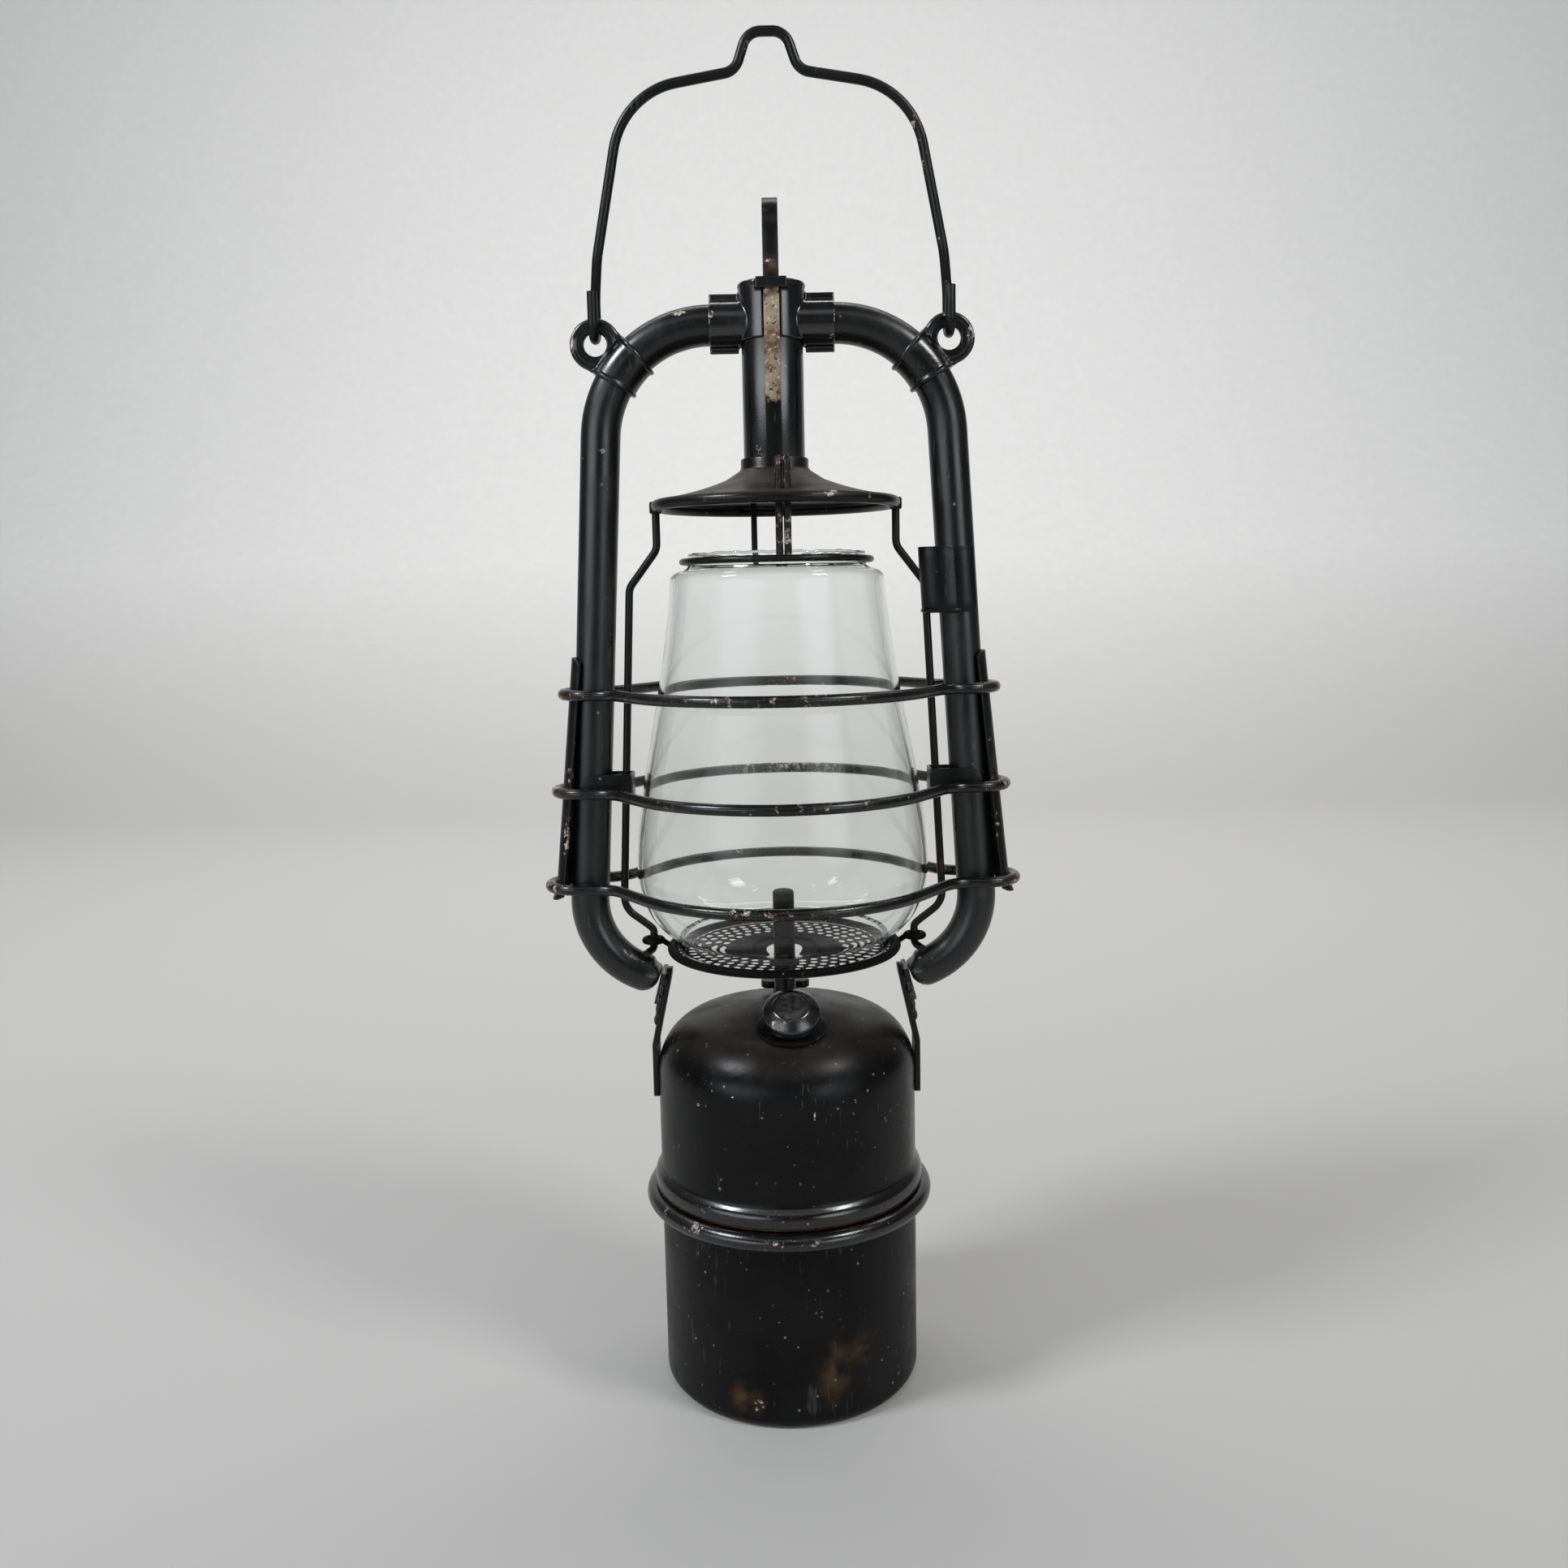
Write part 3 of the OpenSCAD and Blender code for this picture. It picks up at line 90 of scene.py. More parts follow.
sweep.data.materials.append(paper)

# Light: a dim room with a soft pale wall low on each side in front and a faint ceiling, two small soft boxes
# high in front, and a wide box over the backdrop. The camera sees none of them: past the sweep it meets a
# plain pale tone.
bpy.context.scene.view_settings.view_transform = "Standard"
room = bpy.data.worlds.new("dim_room")
bpy.context.scene.world = room
room.use_nodes = True
room_nodes, room_links = room.node_tree.nodes, room.node_tree.links
look = room_nodes.new("ShaderNodeTexCoord").outputs["Generated"]
room_light = None
for turn, rise, width, height, strength, tint in (
        (-42, 9, 36, 15, 3.0, (0.90, 0.95, 1)), (39, 9, 23, 15, 3.3, (0.90, 0.95, 1)),
        (0, 46, 60, 10, 0.6, (0.95, 0.97, 1))):
    turn = math.radians(turn)
    ahead = room_nodes.new("ShaderNodeVectorMath")
    ahead.operation = "DOT_PRODUCT"
    room_links.new(look, ahead.inputs[0])
    ahead.inputs[1].default_value = (math.sin(turn), -math.cos(turn), 0)
    aside = room_nodes.new("ShaderNodeVectorMath")
    aside.operation = "DOT_PRODUCT"
    room_links.new(look, aside.inputs[0])
    aside.inputs[1].default_value = Vector((math.cos(turn), math.sin(turn), 0)) / math.sin(math.radians(width))
    above = room_nodes.new("ShaderNodeVectorMath")
    above.operation = "MULTIPLY_ADD"
    room_links.new(look, above.inputs[0])
    above.inputs[1].default_value = (0, 0, 1 / math.sin(math.radians(height)))
    above.inputs[2].default_value = (0, 0, -math.sin(math.radians(rise)) / math.sin(math.radians(height)))
    offset = room_nodes.new("ShaderNodeVectorMath")
    offset.operation = "ADD"
    spread = room_nodes.new("ShaderNodeCombineXYZ")
    room_links.new(aside.outputs["Value"], spread.inputs["X"])
    room_links.new(spread.outputs["Vector"], offset.inputs[0])
    room_links.new(above.outputs["Vector"], offset.inputs[1])
    reach = room_nodes.new("ShaderNodeVectorMath")
    reach.operation = "LENGTH"
    room_links.new(offset.outputs["Vector"], reach.inputs[0])
    fade = room_nodes.new("ShaderNodeMapRange")
    fade.interpolation_type = "SMOOTHSTEP"
    fade.inputs["From Min"].default_value = 1
    fade.inputs["From Max"].default_value = 0.35
    room_links.new(reach.outputs["Value"], fade.inputs["Value"])
    front = room_nodes.new("ShaderNodeMath")
    front.operation = "GREATER_THAN"
    front.inputs[1].default_value = 0
    room_links.new(ahead.outputs["Value"], front.inputs[0])
    share = room_nodes.new("ShaderNodeMath")
    share.operation = "MULTIPLY"
    room_links.new(fade.outputs["Result"], share.inputs[0])
    room_links.new(front.outputs["Value"], share.inputs[1])
    glow = room_nodes.new("ShaderNodeVectorMath")
    glow.operation = "SCALE"
    glow.inputs[0].default_value = Vector(tint) * strength
    room_links.new(share.outputs["Value"], glow.inputs["Scale"])
    total = room_nodes.new("ShaderNodeVectorMath")
    total.operation = "ADD"
    room_links.new(glow.outputs["Vector"], total.inputs[0])
    if room_light:
        room_links.new(room_light, total.inputs[1])
    else:
        total.inputs[1].default_value = (0.095, 0.097, 0.10)
    room_light = total.outputs["Vector"]
ray = room_nodes.new("ShaderNodeLightPath")
straight = room_nodes.new("ShaderNodeMath")
straight.operation = "MAXIMUM"
room_links.new(ray.outputs["Is Camera Ray"], straight.inputs[0])
room_links.new(ray.outputs["Is Transmission Ray"], straight.inputs[1])
room_shown = room_nodes.new("ShaderNodeMix")
room_shown.data_type = "RGBA"
room_links.new(straight.outputs["Value"], room_shown.inputs["Factor"])
room_links.new(room_light, room_shown.inputs["A"])
room_shown.inputs["B"].default_value = (0.64, 0.637, 0.625, 1)
room_links.new(room_shown.outputs["Result"], room_nodes["Background"].inputs["Color"])
for light_name, turn, rise, away, aim, size, power, tint in (
        ("soft_box_left", -63, 44, 1.6, (0, 0, 0.2), (0.34, 0.30), 14, (0.94, 0.97, 1)),
        ("soft_box_right", 56, 45, 1.6, (0, 0, 0.2), (0.34, 0.30), 9, (1, 1, 0.99)),
        ("backdrop_box", 180, 62, 1.5, (0, 1.6, 0.6), (2.2, 0.6), 26, (1, 0.99, 0.97))):
    turn, rise = math.radians(turn), math.radians(rise)
    spot = Vector((math.sin(turn) * math.cos(rise), -math.cos(turn) * math.cos(rise),
        math.sin(rise))) * away + Vector((0, 0, 0.2))
    bpy.ops.object.light_add(type="AREA", location=spot)
    lamp = bpy.context.object
    lamp.name = light_name
    lamp.data.shape = "RECTANGLE"
    lamp.data.size, lamp.data.size_y = size
    lamp.data.energy = power
    lamp.data.color = tint
    lamp.visible_camera = False
    lamp.rotation_euler = (Vector(aim) - spot).to_track_quat("-Z", "Y").to_euler()

# Camera: from a little above the globe's middle, looking slightly down, with the picture's small lean.
bpy.ops.object.camera_add(location=(0.00102, -0.4853, 0.2823))
view = bpy.context.object
view.rotation_euler = (Matrix.Rotation(math.radians(82.2), 3, "X") @ Matrix.Rotation(math.radians(-1.14), 3,
    "Z")).to_euler()
focal_px, picture_px = 1716, 1932
view.data.sensor_width = 36
view.data.lens = view.data.sensor_width * focal_px / picture_px
bpy.context.scene.camera = view

# Carbide pot: the canister's lower half, deep-drawn sheet under black stove enamel.
# A rolled rim carries the tank; a plain neck above it stands for the screw thread. The carbide basket
# of tinned sheet stands inside it.
mm = 0.001


def arc(centre_r, centre_z, radius, start, end, steps):
    return [(centre_r + radius * math.cos(math.radians(start + (end - start) * i / steps)),
             centre_z + radius * math.sin(math.radians(start + (end - start) * i / steps))) for i in range(steps + 1)]


def turned(name, outline, segments=144, ring=False, crease=35):
    """A ring drawn out along an outline of (radius, height) in millimetres, as on a lathe."""
    bpy.ops.object.select_all(action="DESELECT")
    radius, height = outline[0]
    bpy.ops.mesh.primitive_circle_add(vertices=segments, radius=radius * mm, location=(0, 0, height * mm),
                                      fill_type="NOTHING" if ring else "NGON")
    piece = bpy.context.object
    piece.name = name
    bpy.ops.object.transform_apply()
    bpy.ops.object.mode_set(mode="EDIT")
    bpy.ops.mesh.select_all(action="SELECT")
    for next_radius, next_height in outline[1:]:
        bpy.ops.mesh.extrude_region_move(TRANSFORM_OT_translate={"value": (0, 0, (next_height - height) * mm)})
        grow = next_radius / radius
        bpy.ops.transform.resize(value=(grow, grow, 1), center_override=(0, 0, next_height * mm))
        radius, height = next_radius, next_height
    bpy.ops.mesh.select_all(action="SELECT")
    if ring:
        bpy.ops.mesh.remove_doubles(threshold=1e-6)
    bpy.ops.mesh.normals_make_consistent(inside=False)
    bpy.ops.object.mode_set(mode="OBJECT")
    bpy.ops.object.shade_smooth_by_angle(angle=math.radians(crease))
    return piece


def worn_enamel(name, chips=0.0, rubs=(), bands=(), burns=(), dust=0.0, roughness=0.34,
        tone=(0.0022, 0.0022, 0.0024),
                rust=0.85, scuffs=0.3, specks=0.5, scraped=None, shine=0.32, polished=None):
    """Black stove enamel: cloudy gloss, hair scratches, pale specks, and chips that show rust round bare metal.
    A rub or burn is (x, y, z, reach x, reach y, reach z, strength) in millimetres, where wear or heat has gathered;
    a band is (height, reach, strength), a line of rust all round at that height; scraped is (low, high), the
    heights between which sliding has taken all the enamel off; polished is (low, high), where a roll keeps its
    first gloss."""
    enamel = bpy.data.materials.new(name)
    enamel.use_nodes = True
    nodes, links = enamel.node_tree.nodes, enamel.node_tree.links
    surface = nodes["Principled BSDF"]
    place = nodes.new("ShaderNodeTexCoord").outputs["Object"]

    def noise(scale, detail=5, stretch=None):
        texture = nodes.new("ShaderNodeTexNoise")
        texture.inputs["Scale"].default_value = scale
        texture.inputs["Detail"].default_value = detail
        texture.inputs["Roughness"].default_value = 0.62
        if stretch:
            mapping = nodes.new("ShaderNodeMapping")
            mapping.inputs["Scale"].default_value = stretch
            links.new(place, mapping.inputs["Vector"])
            links.new(mapping.outputs["Vector"], texture.inputs["Vector"])
        else:
            links.new(place, texture.inputs["Vector"])
        return texture.outputs["Fac"]

    def ramp(value, low, high, to_low=0.0, to_high=1.0):
        node = nodes.new("ShaderNodeMapRange")
        node.interpolation_type = "SMOOTHSTEP"
        for socket, number in zip(("From Min", "From Max", "To Min", "To Max"), (low, high, to_low, to_high)):
            node.inputs[socket].default_value = number
        links.new(value, node.inputs["Value"])
        return node.outputs["Result"]

    def calc(operation, a, b):
        node = nodes.new("ShaderNodeMath")
        node.operation = operation
        for socket, value in zip(node.inputs, (a, b)):
            if isinstance(value, (int, float)):
                socket.default_value = value
            else:
                links.new(value, socket)
        return node.outputs["Value"]

    def blend(factor, a, b):
        node = nodes.new("ShaderNodeMix")
        node.data_type = "RGBA"
        links.new(factor, node.inputs["Factor"])
        for socket, value in ((node.inputs["A"], a), (node.inputs["B"], b)):
            if isinstance(value, tuple):
                socket.default_value = value + (1,)
            else:
                links.new(value, socket)
        return node.outputs["Result"]

    def near(x, y, z, rx, ry, rz, strength):
        offset = nodes.new("ShaderNodeVectorMath")
        offset.operation = "SUBTRACT"
        links.new(place, offset.inputs[0])
        offset.inputs[1].default_value = (x * mm, y * mm, z * mm)
        share = nodes.new("ShaderNodeVectorMath")
        share.operation = "DIVIDE"
        links.new(offset.outputs["Vector"], share.inputs[0])
        share.inputs[1].default_value = (rx * mm, ry * mm, rz * mm)
        size = nodes.new("ShaderNodeVectorMath")
        size.operation = "LENGTH"
        links.new(share.outputs["Vector"], size.inputs[0])
        return ramp(size.outputs["Value"], 1.0, 0.0, 0.0, strength)

    cloud = noise(38)
    speckle = noise(420, 8)
    wear = calc("ADD", calc("MULTIPLY", speckle, 0.62), calc("MULTIPLY", noise(95, 6), 0.45))
    if rubs:
        ragged_wear = ramp(noise(520, 8), 0.36, 0.64, 0.02, 0.42)
    for rub in rubs:
        wear = calc("ADD", wear, calc("MULTIPLY", near(*rub), ragged_wear))
    wear = calc("ADD", wear, chips * 0.2)
    stain = ramp(wear, 0.72, 0.78)
    bare = ramp(wear, 0.76, 0.79)
    if bands:
        height = nodes.new("ShaderNodeSeparateXYZ")
        links.new(place, height.inputs["Vector"])
        for level, reach, strength in bands:
            gap = calc("ABSOLUTE", calc("SUBTRACT", height.outputs["Z"], level * mm), 0)
            line = ramp(calc("ADD", gap, calc("MULTIPLY", calc("SUBTRACT", speckle, 0.5), reach * mm * 1.5)),
                reach * mm, 0.4 * reach * mm)
            stain = calc("MAXIMUM", stain, calc("MULTIPLY", line,
                ramp(noise(60, 4), 0.35, 0.6, 0.25 * strength, strength)))
    scratch = ramp(calc("MULTIPLY", noise(900, 2, (1, 1, 0.04)), noise(60, 3)), 0.36, 0.42)
    smear = ramp(noise(150, 7, (1, 1, 0.35)), 0.5, 0.75)
    grains = nodes.new("ShaderNodeTexVoronoi")
    grains.inputs["Scale"].default_value = 480
    links.new(place, grains.inputs["Vector"])
    pick = nodes.new("ShaderNodeSeparateColor")
    links.new(grains.outputs["Color"], pick.inputs["Color"])
    speck = calc("MULTIPLY", ramp(calc("ADD", grains.outputs["Distance"],
        calc("MULTIPLY", calc("SUBTRACT", speckle, 0.5), 0.5)), 0.24, 0.16),
        ramp(pick.outputs["Red"], 1 - 0.12 * specks, 1 - 0.10 * specks))
    speck = calc("MULTIPLY", speck, ramp(noise(45, 3), 0.42, 0.62))

    black = blend(ramp(cloud, 0.35, 0.7), tone, tuple(c * 2.4 for c in tone))
    black = blend(calc("MULTIPLY", scratch, scuffs), black, (0.09, 0.088, 0.085))
    for burn in burns:
        black = blend(calc("MULTIPLY", near(*burn), ramp(noise(120, 6), 0.35, 0.65)), black,
            (0.115, 0.068, 0.028))
    black = blend(speck, black, (0.20, 0.19, 0.17))
    if dust:
        facing = nodes.new("ShaderNodeSeparateXYZ")
        links.new(nodes.new("ShaderNodeNewGeometry").outputs["Normal"], facing.inputs["Vector"])
        settled = calc("MULTIPLY", ramp(facing.outputs["Z"], 0.35, 0.98),
            ramp(noise(70, 8), 0.25, 0.8, 0.35, 1.0))
        settled = calc("MULTIPLY", settled, dust)
        black = blend(settled, black, (0.062, 0.050, 0.041))
    rusty = blend(noise(700, 4), (0.045, 0.016, 0.007), (0.19, 0.075, 0.030))
    metal = blend(ramp(noise(1100, 4), 0.38, 0.62), (0.13, 0.10, 0.075), (0.60, 0.58, 0.54))
    colour = blend(calc("MULTIPLY", stain, rust), black, rusty)
    colour = blend(bare, colour, metal)
    if scraped:
        along = nodes.new("ShaderNodeSeparateXYZ")
        links.new(place, along.inputs["Vector"])
        ragged = calc("ADD", along.outputs["Z"], calc("MULTIPLY", calc("SUBTRACT", noise(160, 6), 0.5),
            14 * mm))
        open_metal = calc("MULTIPLY", ramp(ragged, (scraped[0] - 1) * mm, (scraped[0] + 1) * mm),
                          ramp(along.outputs["Z"], (scraped[1] + 0.4) * mm, (scraped[1] - 0.4) * mm))
        tan = blend(ramp(noise(210, 7), 0.36, 0.62), (0.15, 0.085, 0.042), (0.40, 0.315, 0.225))
        tan = blend(ramp(noise(760, 5), 0.56, 0.66), tan, (0.60, 0.55, 0.48))
        tan = blend(ramp(noise(620, 5), 0.44, 0.36), tan, (0.045, 0.030, 0.020))
        colour = blend(open_metal, colour, tan)
        bare = calc("MAXIMUM", bare, calc("MULTIPLY", open_metal, 0.5))
        stain = calc("MAXIMUM", stain, calc("MULTIPLY", open_metal, noise(500, 4)))
    links.new(colour, surface.inputs["Base Color"])
    links.new(calc("MULTIPLY", bare, 0.45), surface.inputs["Metallic"])
    gloss = calc("ADD", ramp(cloud, 0.3, 0.75, roughness - 0.06, roughness + 0.08),
        calc("MULTIPLY", smear, 0.12))
    gloss = calc("ADD", gloss, calc("MULTIPLY", stain, 0.25))
    if dust:
        gloss = calc("ADD", gloss, calc("MULTIPLY", settled, 0.4))
    surface.inputs["Specular IOR Level"].default_value = shine
    if polished:
        level = nodes.new("ShaderNodeSeparateXYZ")
        links.new(place, level.inputs["Vector"])
        roll = calc("MULTIPLY", ramp(level.outputs["Z"], (polished[0] - 0.5) * mm, (polished[0] + 0.5) * mm),
                    ramp(level.outputs["Z"], (polished[1] + 0.5) * mm, (polished[1] - 0.5) * mm))
        gloss = calc("SUBTRACT", gloss, calc("MULTIPLY", roll, 0.12))
    links.new(gloss, surface.inputs["Roughness"])
    relief = calc("SUBTRACT", calc("MULTIPLY", noise(230, 3), 0.10), calc("MULTIPLY", stain, 0.22))
    relief = calc("ADD", relief, calc("MULTIPLY", noise(1500, 2), 0.09))
    bump = nodes.new("ShaderNodeBump")
    bump.inputs["Strength"].default_value = 0.5
    bump.inputs["Distance"].default_value = 0.0006
    links.new(relief, bump.inputs["Height"])
    links.new(bump.outputs["Normal"], surface.inputs["Normal"])
    return enamel


def finished(piece, material, body, slot, *nodes):
    piece.data.materials.clear()
    piece.data.materials.append(material)
    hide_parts(*nodes)
    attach(piece, body)
    return piece


def glossy_roll(piece, low, high):
    """The roll between two heights keeps its first gloss: a shinier copy of the piece's own enamel."""
    gloss = piece.data.materials[0].copy()
    gloss.name = piece.name + "_roll"
    gloss.node_tree.nodes["Principled BSDF"].inputs["Specular IOR Level"].default_value = 0.7
    piece.data.materials.append(gloss)
    for face in piece.data.polygons:
        if low * mm < face.center.z < high * mm:
            face.material_index = 1


pot = turned("pot", [(41.5, 0)] + arc(42, 4, 4, -90, 0, 8) + [(46, 20), (46, 44), (46, 65.6)]
             + arc(48.3, 68.8, 3.2, 222, 450, 22) + [(46.6, 72), (45.2, 72.05), (44.9, 72.4), (44.9, 82.6),
             (44.7, 83),
                (44.3, 83), (44.1, 82.6), (44.1, 69.6), (45.2, 67.6), (45.2, 4.6)] + arc(42, 4, 3.2, 0, -90,
                6) + [(41.5, 0.8)])
pot_enamel = worn_enamel("pot_enamel", chips=0.05, roughness=0.34, shine=0.15, polished=(66, 73), specks=1.0,
    bands=((0.3, 1.0, 0.5),), rubs=(
    (0, -50, 69.5, 22, 10, 3, 0.75), (-32, -39, 70, 8, 8, 4, 1.1), (-42, -26, 70.5, 5, 6, 3, 0.8),
    (24, -44, 70.5, 5, 5, 3, 0.6),
    (-13, -45, 9, 6, 4, 5, 0.85), (0, -46, 1, 50, 10, 3, 0.35)), burns=(
    (-17, -44, 10, 10, 8, 9, 0.6), (15, -44, 20, 9, 8, 16, 0.55), (24, -40, 26, 8, 9, 9, 0.4)))
finished(pot, pot_enamel, "pot", "enamel", "carbide_pot")
glossy_roll(pot, 66, 73)


def sheet_metal(name, dark, light, roughness, metallic=0.85, scale=120):
    """Bare sheet: cloudy and a little spotted."""
    metal = bpy.data.materials.new(name)
    metal.use_nodes = True
    nodes, links = metal.node_tree.nodes, metal.node_tree.links
    surface = nodes["Principled BSDF"]
    place = nodes.new("ShaderNodeTexCoord").outputs["Object"]
    cloud = nodes.new("ShaderNodeTexNoise")
    cloud.inputs["Scale"].default_value = scale
    cloud.inputs["Detail"].default_value = 8
    links.new(place, cloud.inputs["Vector"])
    tones = nodes.new("ShaderNodeValToRGB")
    tones.color_ramp.elements[0].position = 0.32
    tones.color_ramp.elements[0].color = dark + (1,)
    tones.color_ramp.elements[1].position = 0.68
    tones.color_ramp.elements[1].color = light + (1,)
    links.new(cloud.outputs["Fac"], tones.inputs["Fac"])
    links.new(tones.outputs["Color"], surface.inputs["Base Color"])
    spread = nodes.new("ShaderNodeMapRange")
    spread.inputs["To Min"].default_value = roughness - 0.12
    spread.inputs["To Max"].default_value = roughness + 0.18
    links.new(cloud.outputs["Fac"], spread.inputs["Value"])
    links.new(spread.outputs["Result"], surface.inputs["Roughness"])
    surface.inputs["Metallic"].default_value = metallic
    bump = nodes.new("ShaderNodeBump")
    bump.inputs["Strength"].default_value = 0.3
    bump.inputs["Distance"].default_value = 0.0004
    links.new(cloud.outputs["Fac"], bump.inputs["Height"])
    links.new(bump.outputs["Normal"], surface.inputs["Normal"])
    return metal


tinned_sheet = sheet_metal("tinned_sheet", (0.16, 0.15, 0.14), (0.42, 0.40, 0.37), 0.42)
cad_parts["carbide_basket"].data.materials.clear()
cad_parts["carbide_basket"].data.materials.append(tinned_sheet)

# Pot gasket and filler washer: dark rubber rings that the tank and the cap press on. Rust has run into the
# pot's joint and stained its gasket.
rubber = bpy.data.materials.new("old_rubber")
rubber.use_nodes = True
rubber_nodes, rubber_links = rubber.node_tree.nodes, rubber.node_tree.links
rubber_grain = rubber_nodes.new("ShaderNodeTexNoise")
rubber_grain.inputs["Scale"].default_value = 800
rubber_links.new(rubber_nodes.new("ShaderNodeTexCoord").outputs["Object"], rubber_grain.inputs["Vector"])
rubber_tone = rubber_nodes.new("ShaderNodeValToRGB")
rubber_tone.color_ramp.elements[0].color = (0.020, 0.017, 0.015, 1)
rubber_tone.color_ramp.elements[1].color = (0.055, 0.042, 0.034, 1)
rubber_links.new(rubber_grain.outputs["Fac"], rubber_tone.inputs["Fac"])
rubber_links.new(rubber_tone.outputs["Color"], rubber_nodes["Principled BSDF"].inputs["Base Color"])
rubber_nodes["Principled BSDF"].inputs["Roughness"].default_value = 0.8
stained_rubber = rubber.copy()
for node in stained_rubber.node_tree.nodes:
    if node.type == "VALTORGB":
        node.color_ramp.elements[0].color = (0.050, 0.020, 0.009, 1)
        node.color_ramp.elements[1].color = (0.17, 0.070, 0.030, 1)
for node, seal in (("pot_gasket", stained_rubber), ("filler_washer", rubber)):
    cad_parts[node].data.materials.clear()
    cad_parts[node].data.materials.append(seal)

# Water tank: the upper half of the canister, drawn sheet with a domed crown, enamelled black.
# The fat roll round its lower edge stands on the pot's rim, and a soldered floor parts the water from the gas.
crown = arc(0, 9.975, 127.225, 75.97, 88.1, 12)
crown_inside = arc(0, 9.975, 126.425, 88.1, 75.97, 12)
tank = turned("tank", [(46.85, 73.2), (46.85, 72.66), (47.0, 72.5), (47.8, 72.55), (48.1, 72.75),
    (48.25, 73.2), (48.3, 74), (48.3, 75.1), (48.2, 76.3),
                       (47.9, 77.4), (47.35, 78.3), (46.75, 78.9), (46.3, 79.5), (46.08, 80.3), (46, 81.5),
                       (46, 92), (46, 104)]
              + arc(26, 114, 20, 0, 75.97, 18) + crown[1:] + crown_inside[:-1] + arc(26, 114, 19.2, 75.97, 0,
              12)
              + [(45.2, 90), (45.2, 73.2), (46.85, 73.2)], ring=True)
tank_enamel = worn_enamel("tank_enamel", chips=0.0, roughness=0.29, shine=0.18, polished=(73, 79), specks=1.2,
    bands=((72.7, 0.5, 1.0),), dust=0.38, rubs=(
    (0, -48, 77.5, 45, 12, 3, 0.55), (-30, -37, 76, 9, 8, 4, 0.6), (-12, -46, 96, 12, 6, 3, 0.45),
    (14, -44, 124, 3, 6, 7, 0.6), (-24, -38, 121, 10, 8, 5, 0.4), (30, -33, 82, 12, 10, 6, 0.35),
    (9, -45, 111, 0.55, 4, 4.6, 1.4), (8, -45, 116.5, 0.9, 4, 0.9, 1.3), (-18, -42, 117, 1.2, 4, 0.9, 1.2),
    (-8, -45, 113, 0.8, 4, 0.7, 1.2),
    (3, -46, 118, 0.7, 4, 0.7, 1.1), (22, -40, 110, 0.7, 4, 2, 1.1), (-30, -34, 112, 1, 4, 1.2, 1.0),
    (15, -43, 104, 0.6, 4, 1.4, 1.1),
    (-4, -45.5, 101, 0.5, 4, 1, 1.1)))
finished(tank, tank_enamel, "frame", "enamel", "water_tank")
glossy_roll(tank, 73, 79.2)
brass = sheet_metal("dull_brass", (0.20, 0.14, 0.06), (0.42, 0.32, 0.15), 0.45)
for node, metal in (("tank_floor", tinned_sheet), ("drip_tube", brass), ("valve_spindle", brass)):
    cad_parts[node].data.materials.clear()
    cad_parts[node].data.materials.append(metal)

# Gas stem and burner tip: a drawn tube from the tank's floor up through the gallery, and the plain jet
# that closes it, burnt to a rusty brown by the flame.
stem = turned("gas_stem", [(2, 83), (3.8, 83)] + [(3.8, 120), (3.8, 150), (3.8, 161.8), (3.6, 162), (2, 162),
    (2, 83)], 48, ring=True)
finished(stem, worn_enamel("stem_enamel", chips=0.1, roughness=0.34), "frame", "enamel", "gas_stem")
tip = turned("burner_tip", [(2, 162), (3.6, 162), (3.8, 162.2), (3.8, 176.4)] + arc(2.6, 176.8, 1.2, 0, 90, 6)
             + [(0.8, 178), (0.6, 177.6), (0.6, 174), (2, 174), (2, 162)], 48, ring=True)
finished(tip, worn_enamel("burnt_iron", chips=0.2, roughness=0.55, tone=(0.004, 0.003, 0.003), rust=1.0, rubs=(
    (0, 0, 180, 8, 8, 4, 0.6),), burns=((0, 0, 180, 7, 7, 5, 1.0),)), "frame", "enamel", "burner_tip")

# Filler neck and cap: a turned neck soldered to the crown, leaning forward, and a screw cap with a
# chamfered shoulder and a sunk disc, its rim worn bright where fingers turn it.


def from_solid(node, bevel=0.0, crease=32, segments=2):
    """A copy of the CAD node with its loose triangles joined, its edges eased and its curves smoothed."""
    piece = bpy.data.objects.new("made_" + node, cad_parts[node].data.copy())
    bpy.context.scene.collection.objects.link(piece)
    bpy.ops.object.select_all(action="DESELECT")
    piece.select_set(True)
    bpy.context.view_layer.objects.active = piece
    bpy.ops.mesh.customdata_custom_splitnormals_clear()
    bpy.ops.object.mode_set(mode="EDIT")
    bpy.ops.mesh.select_all(action="SELECT")
    bpy.ops.mesh.remove_doubles(threshold=2e-6)
    bpy.ops.mesh.dissolve_limited(angle_limit=math.radians(0.5))
    bpy.ops.object.mode_set(mode="OBJECT")
    if bevel:
        ease = piece.modifiers.new("ease", "BEVEL")
        ease.width = bevel * mm
        ease.segments = segments
        ease.limit_method = "ANGLE"
        ease.angle_limit = math.radians(crease)
        bpy.ops.object.modifier_apply(modifier="ease")
    bpy.ops.object.shade_smooth_by_angle(angle=math.radians(crease))
    return piece


